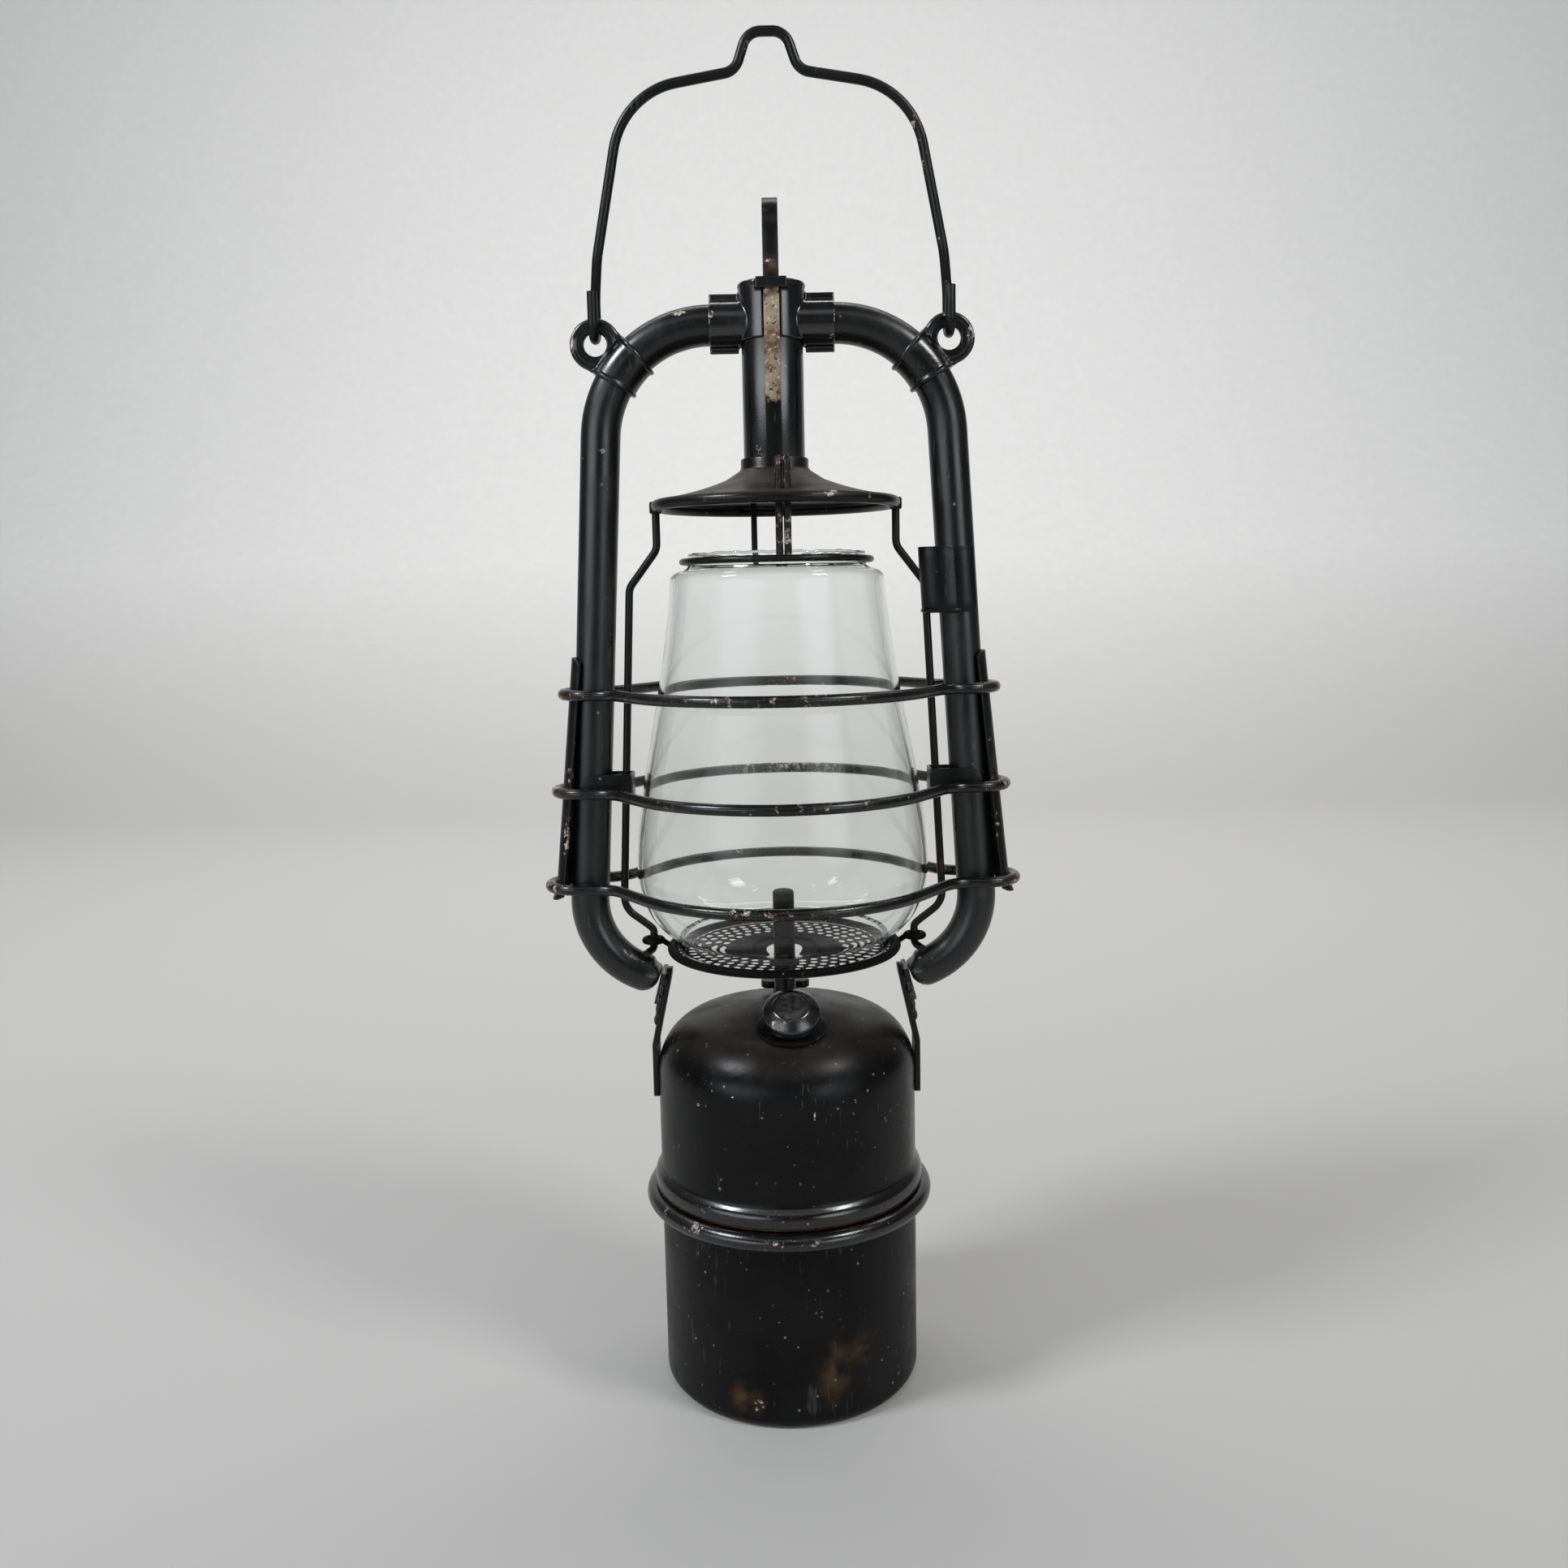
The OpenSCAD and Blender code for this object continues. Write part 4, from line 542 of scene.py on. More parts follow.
finished(from_solid("filler_neck", 0.3), worn_enamel("neck_enamel", chips=0.1, roughness=0.3), "frame",
    "enamel", "filler_neck")
cap = turned("filler_cap", [(7.9, 3.8), (7.9, 0.3), (8.2, 0), (9.5, 0), (9.8, 0.3), (9.8, 2.7), (9.68, 3.1),
    (9.4, 3.45), (7.6, 4.95),
    (6.7, 5.7), (6.3, 5.95), (5.95, 6), (5.7, 5.9), (5.5, 5.6), (5.4, 5.2), (5.2, 5.05), (4.4, 5.0), (3, 5.1),
    (1.5, 5.15)], 96, crease=24)
disc_faces = [face.index for face in cap.data.polygons
              if face.center.xy.length < 5.45 * mm and face.center.z > 4.9 * mm]
filler_lean = math.radians(34)
filler_foot = Vector((2, -23.5, 134.995))
filler_axis = Vector((0, -math.sin(filler_lean), math.cos(filler_lean)))
cap.rotation_euler = (filler_lean, 0, 0)
cap.location = (filler_foot + filler_axis * 5.4) * mm
bpy.ops.object.transform_apply()
cap_top = filler_foot + filler_axis * 11.2
finished(cap, worn_enamel("cap_enamel", chips=0.1, roughness=0.24, specks=0.9, rubs=(
    (-4.6, cap_top.y - 5, cap_top.z - 5.5, 3.6, 3.5, 3.5, 1.25),
    (-1, cap_top.y - 6, cap_top.z - 4.5, 6, 2.5, 2, 0.5),
    (6, cap_top.y - 6, cap_top.z - 6, 4, 3, 2.5, 0.45)), shine=1.0), "filler_plug", "enamel", "filler_cap")
cap.data.materials.append(sheet_metal("rough_iron", (0.012, 0.012, 0.012), (0.11, 0.105, 0.10), 0.5, 0.15, 620))
for index in disc_faces:
    cap.data.polygons[index].material_index = 1

# Valve: a gland on the crown behind the stem, a brass spindle and a flat winged knob.
knob_enamel = worn_enamel("knob_enamel", chips=0.15, roughness=0.36)
finished(from_solid("valve_gland", 0.2), knob_enamel, "frame", "enamel", "valve_gland")
finished(from_solid("valve_knob", 0.9, segments=4), knob_enamel, "valve", "enamel", "valve_knob")

# Straps: two tongues of strip soldered up the tank's sides; the tubes' feet are soldered to them.
strap_enamel = worn_enamel("strap_enamel", chips=0.2, roughness=0.4, rubs=(
    (-46, 0, 142, 6, 9, 8, 0.5), (46, 0, 142, 6, 9, 8, 0.5)))
for node in ("strap_left", "strap_right"):
    finished(from_solid(node, 0.3), strap_enamel, "frame", "enamel", node)

# Side tubes: one drawn tube on each side, bent at the top into the hub and at the bottom to a foot
# that is pressed flat and folded down on its strap.


def bent(name, corners, bends, radius, sides=20, step=6, closed=False):
    """A round bar drawn along corner points in millimetres and spun round each bend; its last end stays
    selected."""
    corners = [Vector(corner) * mm for corner in corners]
    turns = []
    for i in range(0 if closed else 1, len(corners) if closed else len(corners) - 1):
        before, corner, after = corners[i - 1], corners[i], corners[(i + 1) % len(corners)]
        u, v = (corner - before).normalized(), (after - corner).normalized()
        angle = u.angle(v)
        if angle < 1e-4:
            continue
        reach = bends[i] * mm * math.tan(angle / 2)
        centre = corner - u * reach + (v - u * u.dot(v)).normalized() * bends[i] * mm
        turns.append((corner - u * reach, corner + v * reach, centre, u.cross(v).normalized(), angle))
    start = (turns[-1][1] + turns[0][0]) / 2 if closed else corners[0]
    heading = turns[0][0] - start
    bpy.ops.object.select_all(action="DESELECT")
    bpy.ops.mesh.primitive_circle_add(vertices=sides, radius=radius * mm,
        fill_type="NOTHING" if closed else "NGON",
                                      location=start, rotation=heading.to_track_quat("Z", "Y").to_euler())
    piece = bpy.context.object
    piece.name = name
    bpy.ops.object.transform_apply()
    bpy.ops.object.mode_set(mode="EDIT")
    bpy.ops.mesh.select_all(action="SELECT")
    here = start
    for begin, end, centre, axis, angle in turns:
        if (begin - here).length > 1e-6:
            bpy.ops.mesh.extrude_region_move(TRANSFORM_OT_translate={"value": begin - here})
        bpy.ops.mesh.spin(steps=max(2, math.ceil(math.degrees(angle) / step)), angle=-angle, center=centre,
            axis=axis)
        here = end
    last = start if closed else corners[-1]
    if (last - here).length > 1e-6:
        bpy.ops.mesh.extrude_region_move(TRANSFORM_OT_translate={"value": last - here})
    return piece


def smoothed(piece, crease=40, merge=False):
    """Closes a bar that has been drawn in edit mode: joins its ends where it is a loop and smooths it."""
    bpy.ops.mesh.select_all(action="SELECT")
    if merge:
        bpy.ops.mesh.remove_doubles(threshold=2e-6)
    bpy.ops.mesh.normals_make_consistent(inside=False)
    bpy.ops.object.mode_set(mode="OBJECT")
    bpy.ops.object.shade_smooth_by_angle(angle=math.radians(crease))
    return piece


tube_r = 6.75
tube_lean_deg = 3.44
tube_lean = math.tan(math.radians(tube_lean_deg))
frame_half_w, tube_top_z, tube_foot_z = 56.8, 372, 156
top_bend, foot_bend = 38, 28


def tube_x(z):
    return frame_half_w + (tube_top_z - z) * tube_lean


foot_heading = Vector((-math.cos(math.radians(20)), 0, -math.sin(math.radians(20))))
foot_corner = Vector((tube_x(tube_foot_z), 0, tube_foot_z))
tube_turn = Vector((tube_lean, 0, -1)).angle(foot_heading)
foot_end = foot_corner + foot_heading * foot_bend * math.tan(tube_turn / 2)


strap_t, solder_gap, lip_half_t = 2, 0.1, 0.75


def strap_face(z):
    return 46.1 - 6 * (z - 123) / (150.6 - 123)


def lip_x(z):
    return strap_face(z) + strap_t + solder_gap + lip_half_t


pinch = foot_end.z - 2.6
tube_enamel = worn_enamel("tube_enamel", chips=0.04, roughness=0.3, shine=0.6, rubs=(
    (-31, -5, 375, 4, 4, 3, 1.3), (31, -4, 371, 5, 5, 4, 0.35), (58, -6, 318, 2, 5, 8, 0.6),
    (-58, -7, 331, 3, 5, 3, 0.8),
    (66, 0, 240, 5, 9, 40, 0.35), (-66, 0, 240, 5, 9, 40, 0.35), (52, -6, 147, 8, 6, 8, 0.35),
    (-52, -6, 147, 8, 6, 8, 0.35)))
for side, node in ((1, "side_tube_right"), (-1, "side_tube_left")):
    tube = bent(node.replace("side_", "frame_"), [(side * 12.2, 0, tube_top_z),
        (side * frame_half_w, 0, tube_top_z), (side * foot_corner.x, 0, tube_foot_z),
        (side * foot_end.x, 0, foot_end.z)], [0, top_bend, foot_bend, 0], tube_r, sides=40, step=3)
    centre, heading, half_t, half_w = foot_end.copy(), foot_heading.copy(), tube_r, tube_r
    for next_centre, next_heading, next_t, next_w in (
            (Vector((lip_x(pinch) + 5.0, 0, pinch + 2.2)), foot_heading, 0.97 * tube_r, 1.02 * tube_r),
            (Vector((lip_x(pinch) + 3.8, 0, pinch + 2.0)), Vector((-1, 0, -0.24)).normalized(), 0.86 * tube_r,
            1.06 * tube_r),
            (Vector((lip_x(pinch) + 2.7, 0, pinch + 2.1)), Vector((-1, 0, -0.12)).normalized(), 0.70 * tube_r,
            1.10 * tube_r),
            (Vector((lip_x(pinch) + 1.8, 0, pinch + 2.4)), Vector((-1, 0, 0)), 0.52 * tube_r, 1.13 * tube_r),
            (Vector((lip_x(pinch) + 1.1, 0, pinch + 2.8)), Vector((-1, 0, 0)), 0.34 * tube_r, 1.14 * tube_r),
            (Vector((lip_x(pinch) + 0.6, 0, pinch + 3.0)), Vector((-1, 0, 0)), 0.19 * tube_r, 1.1 * tube_r),
            (Vector((lip_x(pinch) + 0.3, 0, pinch + 3.1)), Vector((-1, 0, 0)), 0.09 * tube_r, 1.0 * tube_r)):
        bpy.ops.mesh.extrude_region_move(TRANSFORM_OT_translate={"value": (0, 0, 0)})
        ring = bmesh.from_edit_mesh(tube.data)
        normal, next_normal = Vector((-heading.z, 0, heading.x)), Vector((-next_heading.z, 0, next_heading.x))
        for vertex in ring.verts:
            if vertex.select:
                offset = Vector((side * vertex.co.x, vertex.co.y, vertex.co.z)) / mm - centre
                moved = next_centre + next_normal * offset.dot(normal) / half_t * next_t
                vertex.co = Vector((side * moved.x, offset.y / half_w * next_w, moved.z)) * mm
        bmesh.update_edit_mesh(tube.data)
        centre, heading, half_t, half_w = next_centre, next_heading, next_t, next_w
    smoothed(tube)
    bpy.ops.mesh.primitive_grid_add(x_subdivisions=16, y_subdivisions=18, size=2)
    lip = bpy.context.object
    for vertex in lip.data.vertices:
        across, down = vertex.co.x, (1 - vertex.co.y) / 2
        z = pinch + 3.6 - (11.6 + math.sin(across * 9 + side) * 0.7 + math.sin(across * 23 + 2) * 0.4) * down
        y = across * tube_r * (1.0 - 0.40 * down) + 0.3 * math.sin(down * 14 + 2 * side)
        x = math.sqrt((lip_x(z) + 0.1) ** 2 - y * y) + 0.30 * (1 + math.sin(across * 5 + down * 13)) * down
        vertex.co = Vector((side * x, y, z)) * mm
    thick = lip.modifiers.new("thick", "SOLIDIFY")
    thick.thickness = 1.3 * mm
    thick.offset = 0
    bpy.ops.object.modifier_apply(modifier="thick")
    bpy.ops.object.mode_set(mode="EDIT")
    smoothed(lip, crease=50)
    for y, z, size in ((-4.6, 139, 1.5), (-5.0, 136.4, 1.1), (4.4, 138, 1.4), (-4.9, 132.5, 0.9),
            (4.9, 131, 1.0), (-5.2, 143.5, 1.3)):
        bpy.ops.mesh.primitive_uv_sphere_add(segments=16, ring_count=10, radius=size * mm,
            scale=(0.8, 0.8, 1.9),
            location=Vector((side * (math.sqrt(lip_x(z) ** 2 - y * y) - 0.4), y, z)) * mm)
        bpy.ops.object.transform_apply()
        bpy.ops.object.shade_smooth()
        lip.select_set(True)
        bpy.context.view_layer.objects.active = lip
        bpy.ops.object.join()
    tube.select_set(True)
    bpy.context.view_layer.objects.active = tube
    bpy.ops.object.join()
    finished(tube, tube_enamel, "frame", "enamel", node)

# Hub and chimney: two stampings clamped round the tubes' ends and the chimney, which is a seamed tube
# that carries the hot gas out. The stampings' corners run into each other in soft hollows.


def softened(piece, voxel, smooth):
    """A stamped look: the piece is rebuilt in fine even faces and its corners are eased, hollows too."""
    bpy.ops.object.select_all(action="DESELECT")
    piece.select_set(True)
    bpy.context.view_layer.objects.active = piece
    rebuilt = piece.modifiers.new("rebuilt", "REMESH")
    rebuilt.mode = "VOXEL"
    rebuilt.voxel_size = voxel * mm
    rebuilt.use_smooth_shade = True
    bpy.ops.object.modifier_apply(modifier="rebuilt")
    eased = piece.modifiers.new("eased", "SMOOTH")
    eased.factor = 0.5
    eased.iterations = smooth
    bpy.ops.object.modifier_apply(modifier="eased")
    bpy.ops.object.shade_smooth()
    return piece


hub_enamel = worn_enamel("hub_enamel", chips=0.05, roughness=0.2, shine=1.0, rubs=(
    (-20, -8, 375, 3, 3, 4, 0.8), (-14, -8, 376, 3, 3, 3, 0.6), (20, -6, 368, 4, 5, 8, 0.45),
    (0, -11, 384, 10, 5, 3, 0.35)))
for node in ("hub_front", "hub_back"):
    finished(softened(from_solid(node), 0.3, 6), hub_enamel, "frame", "enamel", node)
chimney_enamel = worn_enamel("chimney_enamel", chips=0.08, roughness=0.22, shine=1.0,
    rubs=((-5, -9, 330, 6, 4, 10, 0.5),))
finished(from_solid("chimney_tube", 0.2), chimney_enamel, "frame", "enamel", "chimney_tube")

# Ears: stamped bands round the top bends, each with a raised eye that takes the bail's hook.
# The eyes' outer rims are rubbed to bright metal.
ear_enamel = worn_enamel("ear_enamel", chips=0.10, roughness=0.25, shine=0.6, rubs=(
    (-67.4, -1, 368, 3.2, 5, 8, 1.4), (67.4, -1, 368, 3.2, 5, 8, 1.2), (-60, -2, 374, 5, 3, 3, 0.7),
    (60, -2, 374, 5, 3, 3, 0.7),
    (-46, -8, 350, 5, 5, 5, 0.6), (46, -8, 350, 5, 5, 5, 0.6)))
for node in ("ear_left", "ear_right"):
    finished(softened(from_solid(node), 0.26, 3), ear_enamel, "frame", "enamel", node)

# Guard rings: hard wire bent round the globe in front and behind, and round each tube at the sides.
# The fronts and the turns have lost their enamel and rusted.
ring_enamel = worn_enamel("ring_enamel", chips=0.40, roughness=0.24, rust=0.9, shine=0.5, rubs=(
    (0, -55, 181.5, 75, 30, 4, 0.32), (0, -55, 215, 70, 30, 4, 0.28), (0, -55, 249, 70, 30, 4, 0.25),
    (0, 55, 215, 70, 20, 60, 0.5),
    (-82, -4, 181.5, 11, 16, 5, 0.6), (82, -4, 181.5, 11, 16, 5, 0.6), (-79, -4, 215, 11, 16, 5, 0.55),
    (79, -4, 215, 11, 16, 5, 0.55),
    (-75, -4, 249, 11, 16, 5, 0.5), (75, -4, 249, 11, 16, 5, 0.5)), burns=(
    (-83, 0, 181.5, 12, 18, 5, 1.0), (83, 0, 181.5, 12, 18, 5, 1.0), (-80, 0, 215, 12, 18, 5, 1.0),
    (80, 0, 215, 12, 18, 5, 1.0),
    (-76, 0, 249, 12, 18, 5, 0.9), (76, 0, 249, 12, 18, 5, 0.9), (0, 55, 215, 60, 20, 60, 0.6)))
for node, z in (("guard_ring_lower", 181.5), ("guard_ring_middle", 215), ("guard_ring_upper", 249)):
    turn_r, ring_r, ring_wire_r = 10.9, 55, 1.92
    x_meet = math.sqrt(ring_r ** 2 - turn_r ** 2)
    x_ease = x_meet + (tube_x(z) - x_meet) * 0.35
    x_strip = tube_x(z) + 3 * (249 - z) / (249 - 181.5)
    arc_end = math.atan2(x_ease, turn_r) - math.acos(ring_r / math.hypot(x_ease, turn_r))
    ease = min(12, 0.98 * (x_strip - x_ease) / math.tan(arc_end / 2))
    y_arc = ring_r / math.cos(arc_end)
    x_turn = x_strip + turn_r
    ring = bent(node.replace("guard_", "wire_"), [(0, -y_arc, z), (x_ease, -turn_r, z), (x_turn, -turn_r, z),
        (x_turn, turn_r, z),
        (x_ease, turn_r, z), (0, y_arc, z), (-x_ease, turn_r, z), (-x_turn, turn_r, z), (-x_turn, -turn_r, z),
        (-x_ease, -turn_r, z)],
        [ring_r, ease, turn_r, turn_r, ease, ring_r, ease, turn_r, turn_r, ease], ring_wire_r, sides=18,
        step=4, closed=True)
    finished(smoothed(ring, merge=True), ring_enamel, "frame", "enamel", node)

# Guard strips, wire guides and rest clip: sheet pieces soldered to the tubes. The strips tie the three
# rings together, the guides keep the carriage's wires upright, and the clip parks a lifted wire.
strip_enamel = worn_enamel("strip_enamel", chips=0.12, roughness=0.33, rubs=(
    (-74, -3, 216, 6, 12, 45, 0.4), (74, -3, 216, 6, 12, 45, 0.4), (-75, -8, 197, 5, 6, 13, 0.9),
    (75, -8, 200, 4, 6, 10, 0.6)))
for node in ("guard_strip_left", "guard_strip_right", "wire_guide_left", "wire_guide_right"):
    finished(from_solid(node, 0.22), strip_enamel, "frame", "enamel", node)
clip_path = [(-12.7, -3.4), (-12.6, -5.0), (-11.9, -6.4), (-10.6, -7.5), (-8.8, -8.2), (-6.8, -8.45),
    (-4.9, -8.35), (-3.2, -8.0),
             (-2.0, -7.62), (-1.5, -7.42)] + [(7.55 * math.sin(a),
             -7.55 * math.cos(a)) for a in [0.1 * i for i in range(-1, 9)]]
bpy.ops.mesh.primitive_grid_add(x_subdivisions=len(clip_path) - 1, y_subdivisions=6, size=2)
clip = bpy.context.object
clip.name = "rest_clip"
for vertex in clip.data.vertices:
    x, y = clip_path[round((vertex.co.x + 1) / 2 * (len(clip_path) - 1))]
    z = 286 + 11 * vertex.co.y
    vertex.co = Vector((tube_x(z) + x, y, z)) * mm
bpy.ops.object.mode_set(mode="EDIT")
smoothed(clip)
thick = clip.modifiers.new("thick", "SOLIDIFY")
thick.thickness = 0.8 * mm
thick.offset = 0
bpy.ops.object.modifier_apply(modifier="thick")
eased = clip.modifiers.new("eased", "BEVEL")
eased.width = 0.2 * mm
eased.segments = 2
bpy.ops.object.modifier_apply(modifier="eased")
bpy.ops.object.shade_smooth_by_angle(angle=math.radians(40))
roll = smoothed(bent("clip_roll", [(tube_x(275.5) + x, y, 275.5) for x,
    y in ((-12.65, -3.6), (-12.65, -8.2), (-2.2, -8.3), (-0.4, -7.4))],
                     [0, 3.6, 4, 0], 0.85, sides=16, step=9))
clip.select_set(True)
bpy.context.view_layer.objects.active = clip
bpy.ops.object.join()
finished(clip, strip_enamel, "frame", "enamel", "lift_rest_clip")

# Hood: a dished cone with a rolled edge that slides on the chimney by its collar, dusty brown on top.
# It carries the finger strip, the two side wires and the stays of the globe ring.
dish = [(10.7 + 29.9 * t, 323 - 8.9 * t - 4.8 * t * (1 - t)) for t in [i / 14 for i in range(1, 14)]]
hood = turned("hood", [(10.7, 322.6), (10.7, 327.2), (11, 327.6), (11.3, 327.6), (11.55, 327.2),
    (11.55, 324.6), (12, 323.8), (12.7, 323.2)]
              + [(r, z + 0.15) for r, z in dish[2:]] + arc(40.6, 312.4, 1.9, 95, -200, 20)
              + [(r, z - 0.7) for r, z in reversed(dish[1:])] + [(11.1, 322.0), (10.7, 322.6)], ring=True)
for side in (-1, 1):
    bpy.ops.mesh.primitive_cylinder_add(vertices=24, radius=2.15 * mm, depth=4.2 * mm,
        location=(side * 41.1 * mm, 0, 312.1 * mm))
    lug = bpy.context.object
    bpy.ops.object.transform_apply()
    eased = lug.modifiers.new("eased", "BEVEL")
    eased.width = 0.7 * mm
    eased.segments = 3
    bpy.ops.object.modifier_apply(modifier="eased")
    bpy.ops.object.shade_smooth_by_angle(angle=math.radians(40))
    hood.select_set(True)
    bpy.context.view_layer.objects.active = hood
    bpy.ops.object.join()
hood_enamel = worn_enamel("hood_enamel", chips=0.06, dust=0.66, roughness=0.30, rubs=(
    (17, -38, 313.6, 7, 6, 2.5, 1.25), (30, -29, 313, 2.5, 3, 2.5, 0.9), (-22, -35, 313, 4, 4, 2, 0.5),
    (0, -40, 313, 30, 6, 2.5, 0.25)))
finished(hood, hood_enamel, "carriage", "enamel", "hood")

# Lift strip: flat iron strip up the chimney's front, rolled at its top into a finger loop.
# Its face is rubbed bare and tan with rust where it slides under the hub's staple.
strip_metal = worn_enamel("strip_worn", chips=0.1, roughness=0.30, rust=1.0, scraped=(346, 384.6),
    burns=((0, -11.7, 389, 5, 4, 4, 1.0),), rubs=(
    (0, -11.7, 389.6, 3.6, 3, 2.2, 0.85), (0, -11.7, 400, 3, 4, 12, 0.3)))
finished(from_solid("lift_strip", 0.25), strip_metal, "carriage", "worn_strip", "lift_strip")

# Side wires: from lugs in the hood, out past the globe's shoulder, down through the guides and hooked
# into the gallery's eyes.
wire_enamel = worn_enamel("wire_enamel", chips=0.12, roughness=0.34, burns=(
    (-56, 0, 186, 4, 4, 5, 1.0), (56, 0, 186, 4, 4, 4, 0.7)))
gallery_r, gallery_bead_r, gallery_z = 40, 1.5, 157.5
eye_loop_r, eye_wire_r = 2.9, 1.2
hook_x, eye_z = gallery_r + gallery_bead_r + 1 + eye_loop_r + eye_wire_r - 0.2, gallery_z + 3.1
for side, node in ((1, "side_wire_right"), (-1, "side_wire_left")):
    wire = bent(node.replace("side_", "carriage_"), [(side * x, y, z) for x, y, z in (
        (41.1, 0, 313.4), (41.1, 0, 298), (tube_x(285) - 11.05, 0, 285),
        ((51.2 + tube_x(172.5) - tube_r) / 2, 0, 172.5),
        (hook_x + 2.4, 0, eye_z + 6), (hook_x, 0, eye_z + 4), (hook_x, 0, eye_z - 3),
        (hook_x + 2.5, -5, eye_z - 3.8))],
        [0, 6, 6, 8, 3, 2.2, 2.2, 0], 1.35, sides=16, step=7)
    finished(smoothed(wire), wire_enamel, "carriage", "enamel", node)

# Gallery: a thin perforated tin plate with a rolled edge that carries the globe and lets air up round the flame,
# with a wire eye at each side.
gallery_enamel = worn_enamel("gallery_enamel", chips=0.12, roughness=0.6, rust=0.8,
    rubs=((0, -40, 159, 30, 6, 3, 0.45),), shine=0.08, polished=(150, 156.9))
gallery = from_solid("gallery_plate", 0, 30)
plate_reach, tin_underside = 38.6, 157.85
for vertex in gallery.data.vertices:
    if abs(vertex.co.z - gallery_z * mm) < 0.02 * mm and vertex.co.xy.length < plate_reach * mm:
        vertex.co.z = tin_underside * mm
finished(gallery, gallery_enamel, "carriage", "enamel", "gallery_plate")
glossy_roll(gallery, 150, 157.2)
finished(from_solid("gallery_eyes", 0, 40), gallery_enamel, "carriage", "enamel", "gallery_eyes")

# Globe: blown clear glass with a round belly, a long cone, a pinched shoulder and a neck whose cut rim is
# a little rough. It stands free on the gallery.


def curve(a, b, c, d, steps):
    points = []
    for i in range(1, steps + 1):
        t = i / steps
        points.append(tuple(p * (1 - t) ** 3 + 3 * q * t * (1 - t) ** 2 + 3 * r * t * t * (1 - t) + s * t ** 3
                            for p, q, r, s in zip(a, b, c, d)))
    return points


shoulder_z, neck_rise, neck_r = 286.4, 6, 30.5


def globe_outline(inset):
    low, belly, shoulder = 158, 187, shoulder_z
    foot, widest, upper, neck = 37.4 - inset, 51.2 - inset, 37 - inset, neck_r - inset
    return ([(foot, low + 4.6)] + curve((foot, low + 4.6), (widest - 6, low + 8), (widest, belly - 12),
        (widest, belly), 18)
            + curve((widest, belly), (widest, belly + 26), (upper + 2, shoulder - 32), (upper, shoulder), 26)
            + curve((upper, shoulder), (upper, shoulder + 5), (neck, shoulder + 3.4),
            (neck, shoulder + neck_rise), 14))


glass_wall = 2
outside, inside = globe_outline(0), globe_outline(glass_wall)
globe = turned("globe", [(36, 158), (37.1, 158), (37.4, 158.3), (37.4, 158.7)] + outside + [(30.5, 295.5),
    (30.5, 296), (30.1, 296.4), (28.9, 296.4), (28.5, 296), (28.5, 295.5)]
               + inside[::-1] + [(35.4, 158.7), (35.4, 158.3), (35.7, 158), (36, 158)], 160, ring=True,
               crease=60)
for vertex in globe.data.vertices:
    if vertex.co.z > 0.2955:
        a = math.atan2(vertex.co.y, vertex.co.x)
        nibble = 0.00018 * (1 + math.sin(a * 23 + 2 * math.sin(a * 7)) * math.sin(a * 11 + 1))
        vertex.co.z -= nibble + 0.0004 * max(0, math.sin(a * 5 + 1.2)) ** 12
clear_glass = bpy.data.materials.new("clear_glass")
clear_glass.use_nodes = True
glass_nodes, glass_links = clear_glass.node_tree.nodes, clear_glass.node_tree.links
glass = glass_nodes["Principled BSDF"]
glass.inputs["Transmission Weight"].default_value = 1
glass.inputs["IOR"].default_value = 1.5
glass.inputs["Specular Tint"].default_value = (0.5, 0.5, 0.5, 1)
glass_place = glass_nodes.new("ShaderNodeTexCoord").outputs["Object"]
glass_wave = glass_nodes.new("ShaderNodeTexNoise")
glass_wave.inputs["Scale"].default_value = 45
glass_wave.inputs["Detail"].default_value = 2
glass_links.new(glass_place, glass_wave.inputs["Vector"])
glass_tone = glass_nodes.new("ShaderNodeValToRGB")
glass_tone.color_ramp.elements[0].color = (0.94, 0.955, 0.95, 1)
glass_tone.color_ramp.elements[1].color = (0.97, 0.98, 0.975, 1)
glass_links.new(glass_wave.outputs["Fac"], glass_tone.inputs["Fac"])
glass_links.new(glass_tone.outputs["Color"], glass.inputs["Base Color"])
glass_film = glass_nodes.new("ShaderNodeTexNoise")
glass_film.inputs["Scale"].default_value = 130
glass_film.inputs["Detail"].default_value = 8
glass_links.new(glass_place, glass_film.inputs["Vector"])
glass_haze = glass_nodes.new("ShaderNodeMapRange")
glass_haze.inputs["From Min"].default_value = 0.4
glass_haze.inputs["From Max"].default_value = 0.8
glass_haze.inputs["To Min"].default_value = 0.0
glass_haze.inputs["To Max"].default_value = 0.05
glass_links.new(glass_film.outputs["Fac"], glass_haze.inputs["Value"])
glass_links.new(glass_haze.outputs["Result"], glass.inputs["Roughness"])
glass_bump = glass_nodes.new("ShaderNodeBump")
glass_bump.inputs["Strength"].default_value = 0.08
glass_bump.inputs["Distance"].default_value = 0.001
glass_links.new(glass_wave.outputs["Fac"], glass_bump.inputs["Height"])
glass_links.new(glass_bump.outputs["Normal"], glass.inputs["Normal"])
finished(globe, clear_glass, "carriage", "glass", "globe")

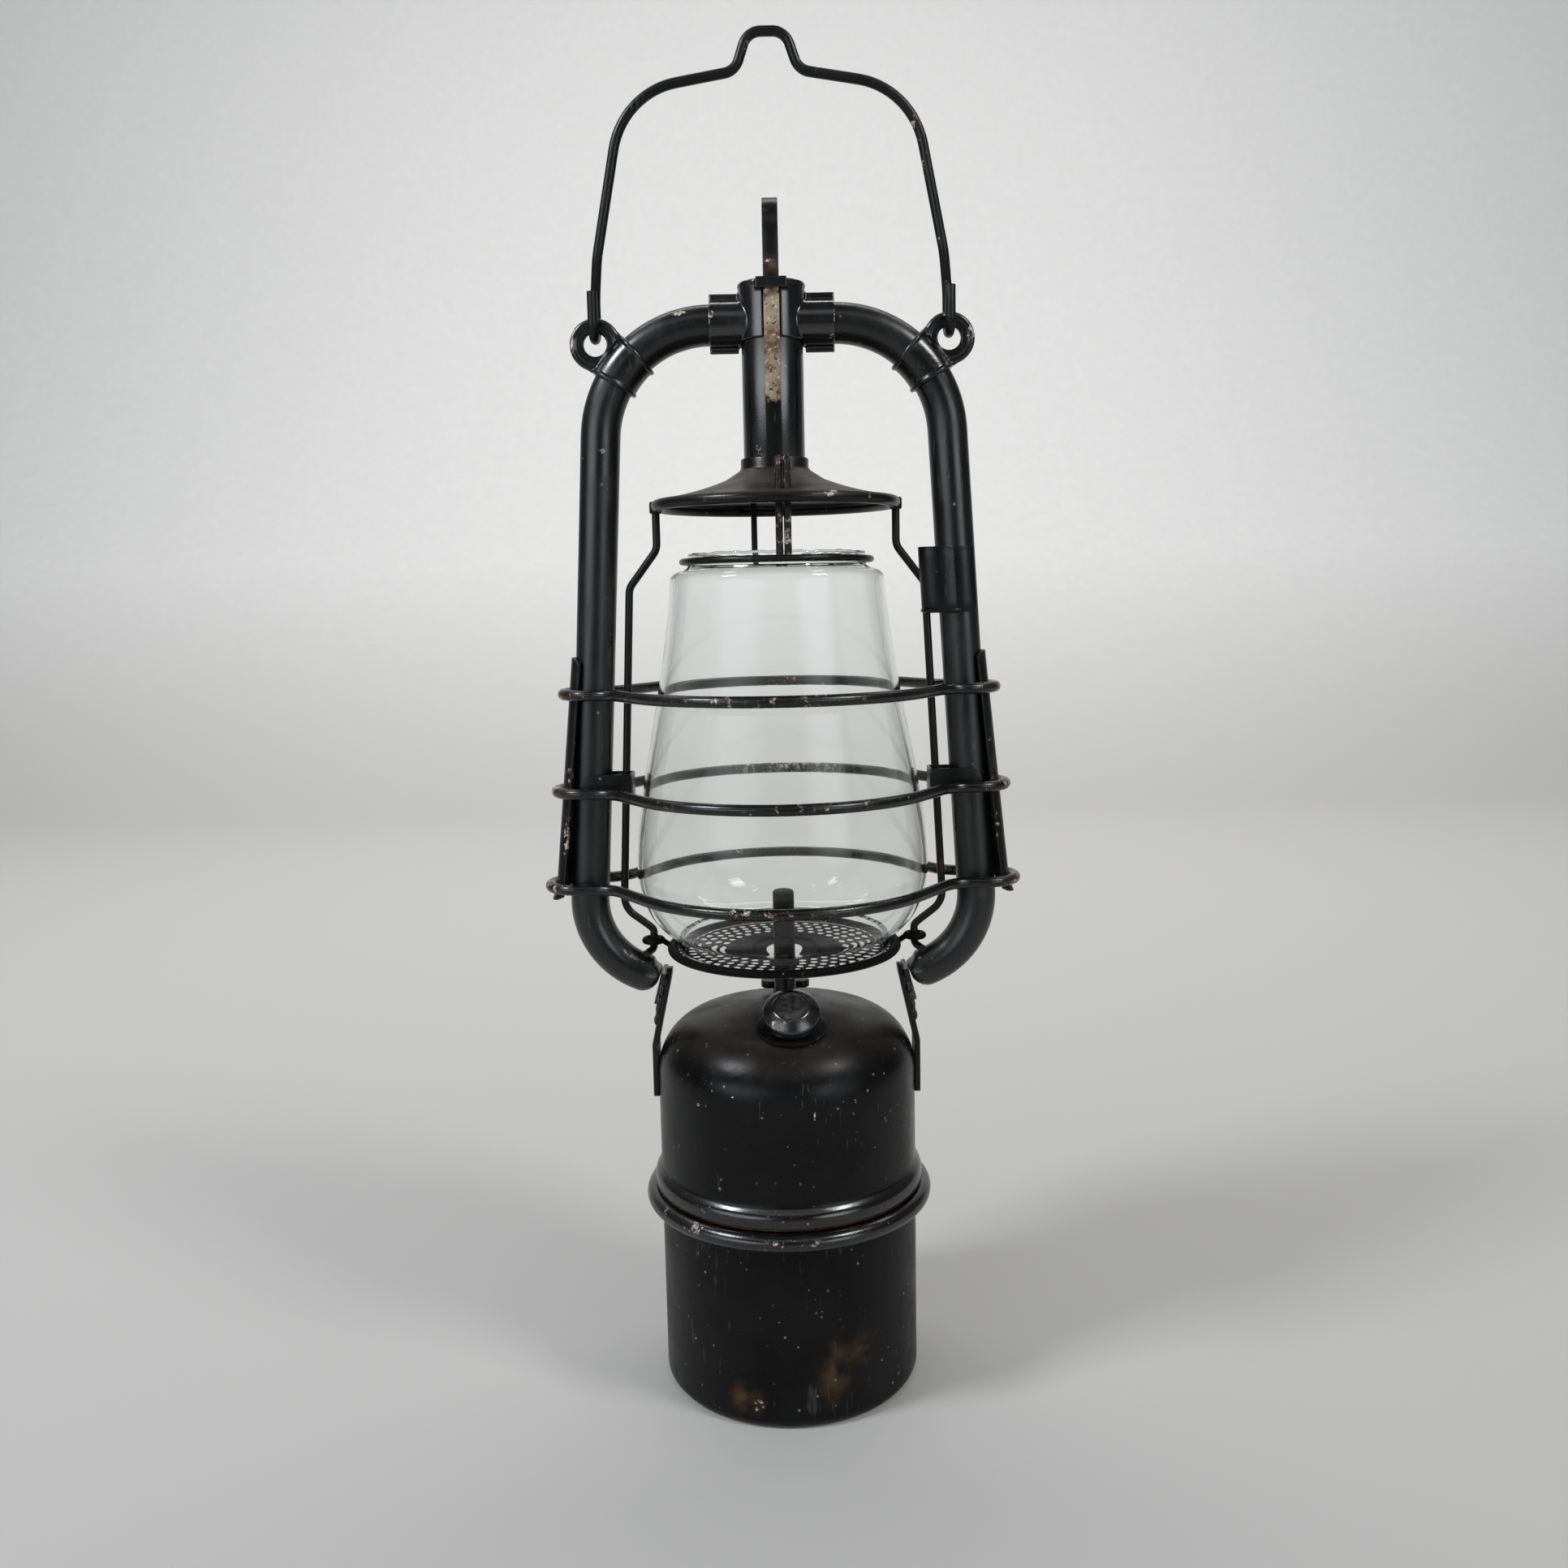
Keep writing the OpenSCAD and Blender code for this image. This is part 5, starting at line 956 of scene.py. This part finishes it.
# Globe ring: a wire round the globe's neck that keeps it on the gallery, hung through slots in the hood by
# a double stay in front and a single one behind. The double stay is chipped to bare metal.
holder_wire_r, holder_play = 1.1, 0.8
ring_z, ring_round = shoulder_z + neck_rise + holder_wire_r, neck_r + holder_wire_r + holder_play
holder = turned("globe_ring", arc(ring_round, ring_z, holder_wire_r, 0, 360, 16), 120, ring=True, crease=60)
finished(holder, wire_enamel, "globe_holder", "enamel", "globe_ring")
stay_enamel = worn_enamel("stay_enamel", chips=0.75, roughness=0.42, rust=0.8)
stay_x, stay_spacing = 2.5, 1.35
front_y = math.sqrt(ring_round ** 2 - stay_x ** 2)
stays = []
for x in (stay_x - stay_spacing, stay_x + stay_spacing):
    stays.append(smoothed(bent("front_stay", [(x, -front_y, ring_z + 1.15), (x, -front_y, 325),
        (x, 5 - front_y, 325), (x, 5 - front_y, 321)],
        [0, 2.4, 2.4, 0], 1.2, sides=16, step=9)))
bpy.ops.object.select_all(action="DESELECT")
for stay in stays:
    stay.select_set(True)
bpy.context.view_layer.objects.active = stays[0]
bpy.ops.object.join()
finished(stays[0], stay_enamel, "globe_holder", "enamel", "front_stay")
back_x = -8
back_y = math.sqrt(ring_round ** 2 - back_x ** 2)
back = smoothed(bent("back_stay", [(back_x, back_y, ring_z + 1.15), (back_x, back_y, 325),
    (back_x, back_y - 4, 325)], [0, 2, 0], 1.1, sides=16, step=9))
finished(back, wire_enamel, "globe_holder", "enamel", "back_stay")

# Bail: stiff wire hooked through the ears, with a crook at the top to hang the lantern by.
bend_x = frame_half_w - top_bend * math.tan(math.radians((90 - tube_lean_deg) / 2))
ear_out, ear_angle = 50.4, math.radians(40)
ear_x, ear_z = bend_x + ear_out * math.cos(ear_angle), tube_top_z - top_bend + ear_out * math.sin(ear_angle)
eye_hole_r, bail_r, hook_play = 3.9, 1.7, 0.4
hook_z = ear_z + eye_hole_r - bail_r - hook_play
half = [(ear_x, -4.6, hook_z + 14.6), (ear_x, -4.6, hook_z), (ear_x, 4.6, hook_z), (ear_x, 4.6, hook_z + 14),
    (ear_x - 1.6, 0, hook_z + 26),
    (47.8, 0, 446.4), (10.4, 0, 452.6), (6.2, 0, 464.77)]
bends = [0, 4.6, 4.6, 16, 16, 26, 6, 6]
bail = bent("bail_wire", half + [(-x, y, z) for x, y, z in reversed(half)], bends + bends[::-1], bail_r,
    sides=20, step=5)
bail_enamel = worn_enamel("bail_enamel", chips=0.30, roughness=0.36, rubs=(
    (50, 0, 425, 6, 4, 40, 0.5), (-50, 0, 425, 6, 4, 40, 0.3), (0, 0, 458, 14, 4, 10, 0.5),
    (58, 0, 380, 4, 6, 16, 0.6), (-58, 0, 380, 4, 6, 16, 0.5)))
finished(smoothed(bail), bail_enamel, "bail", "enamel", "bail")
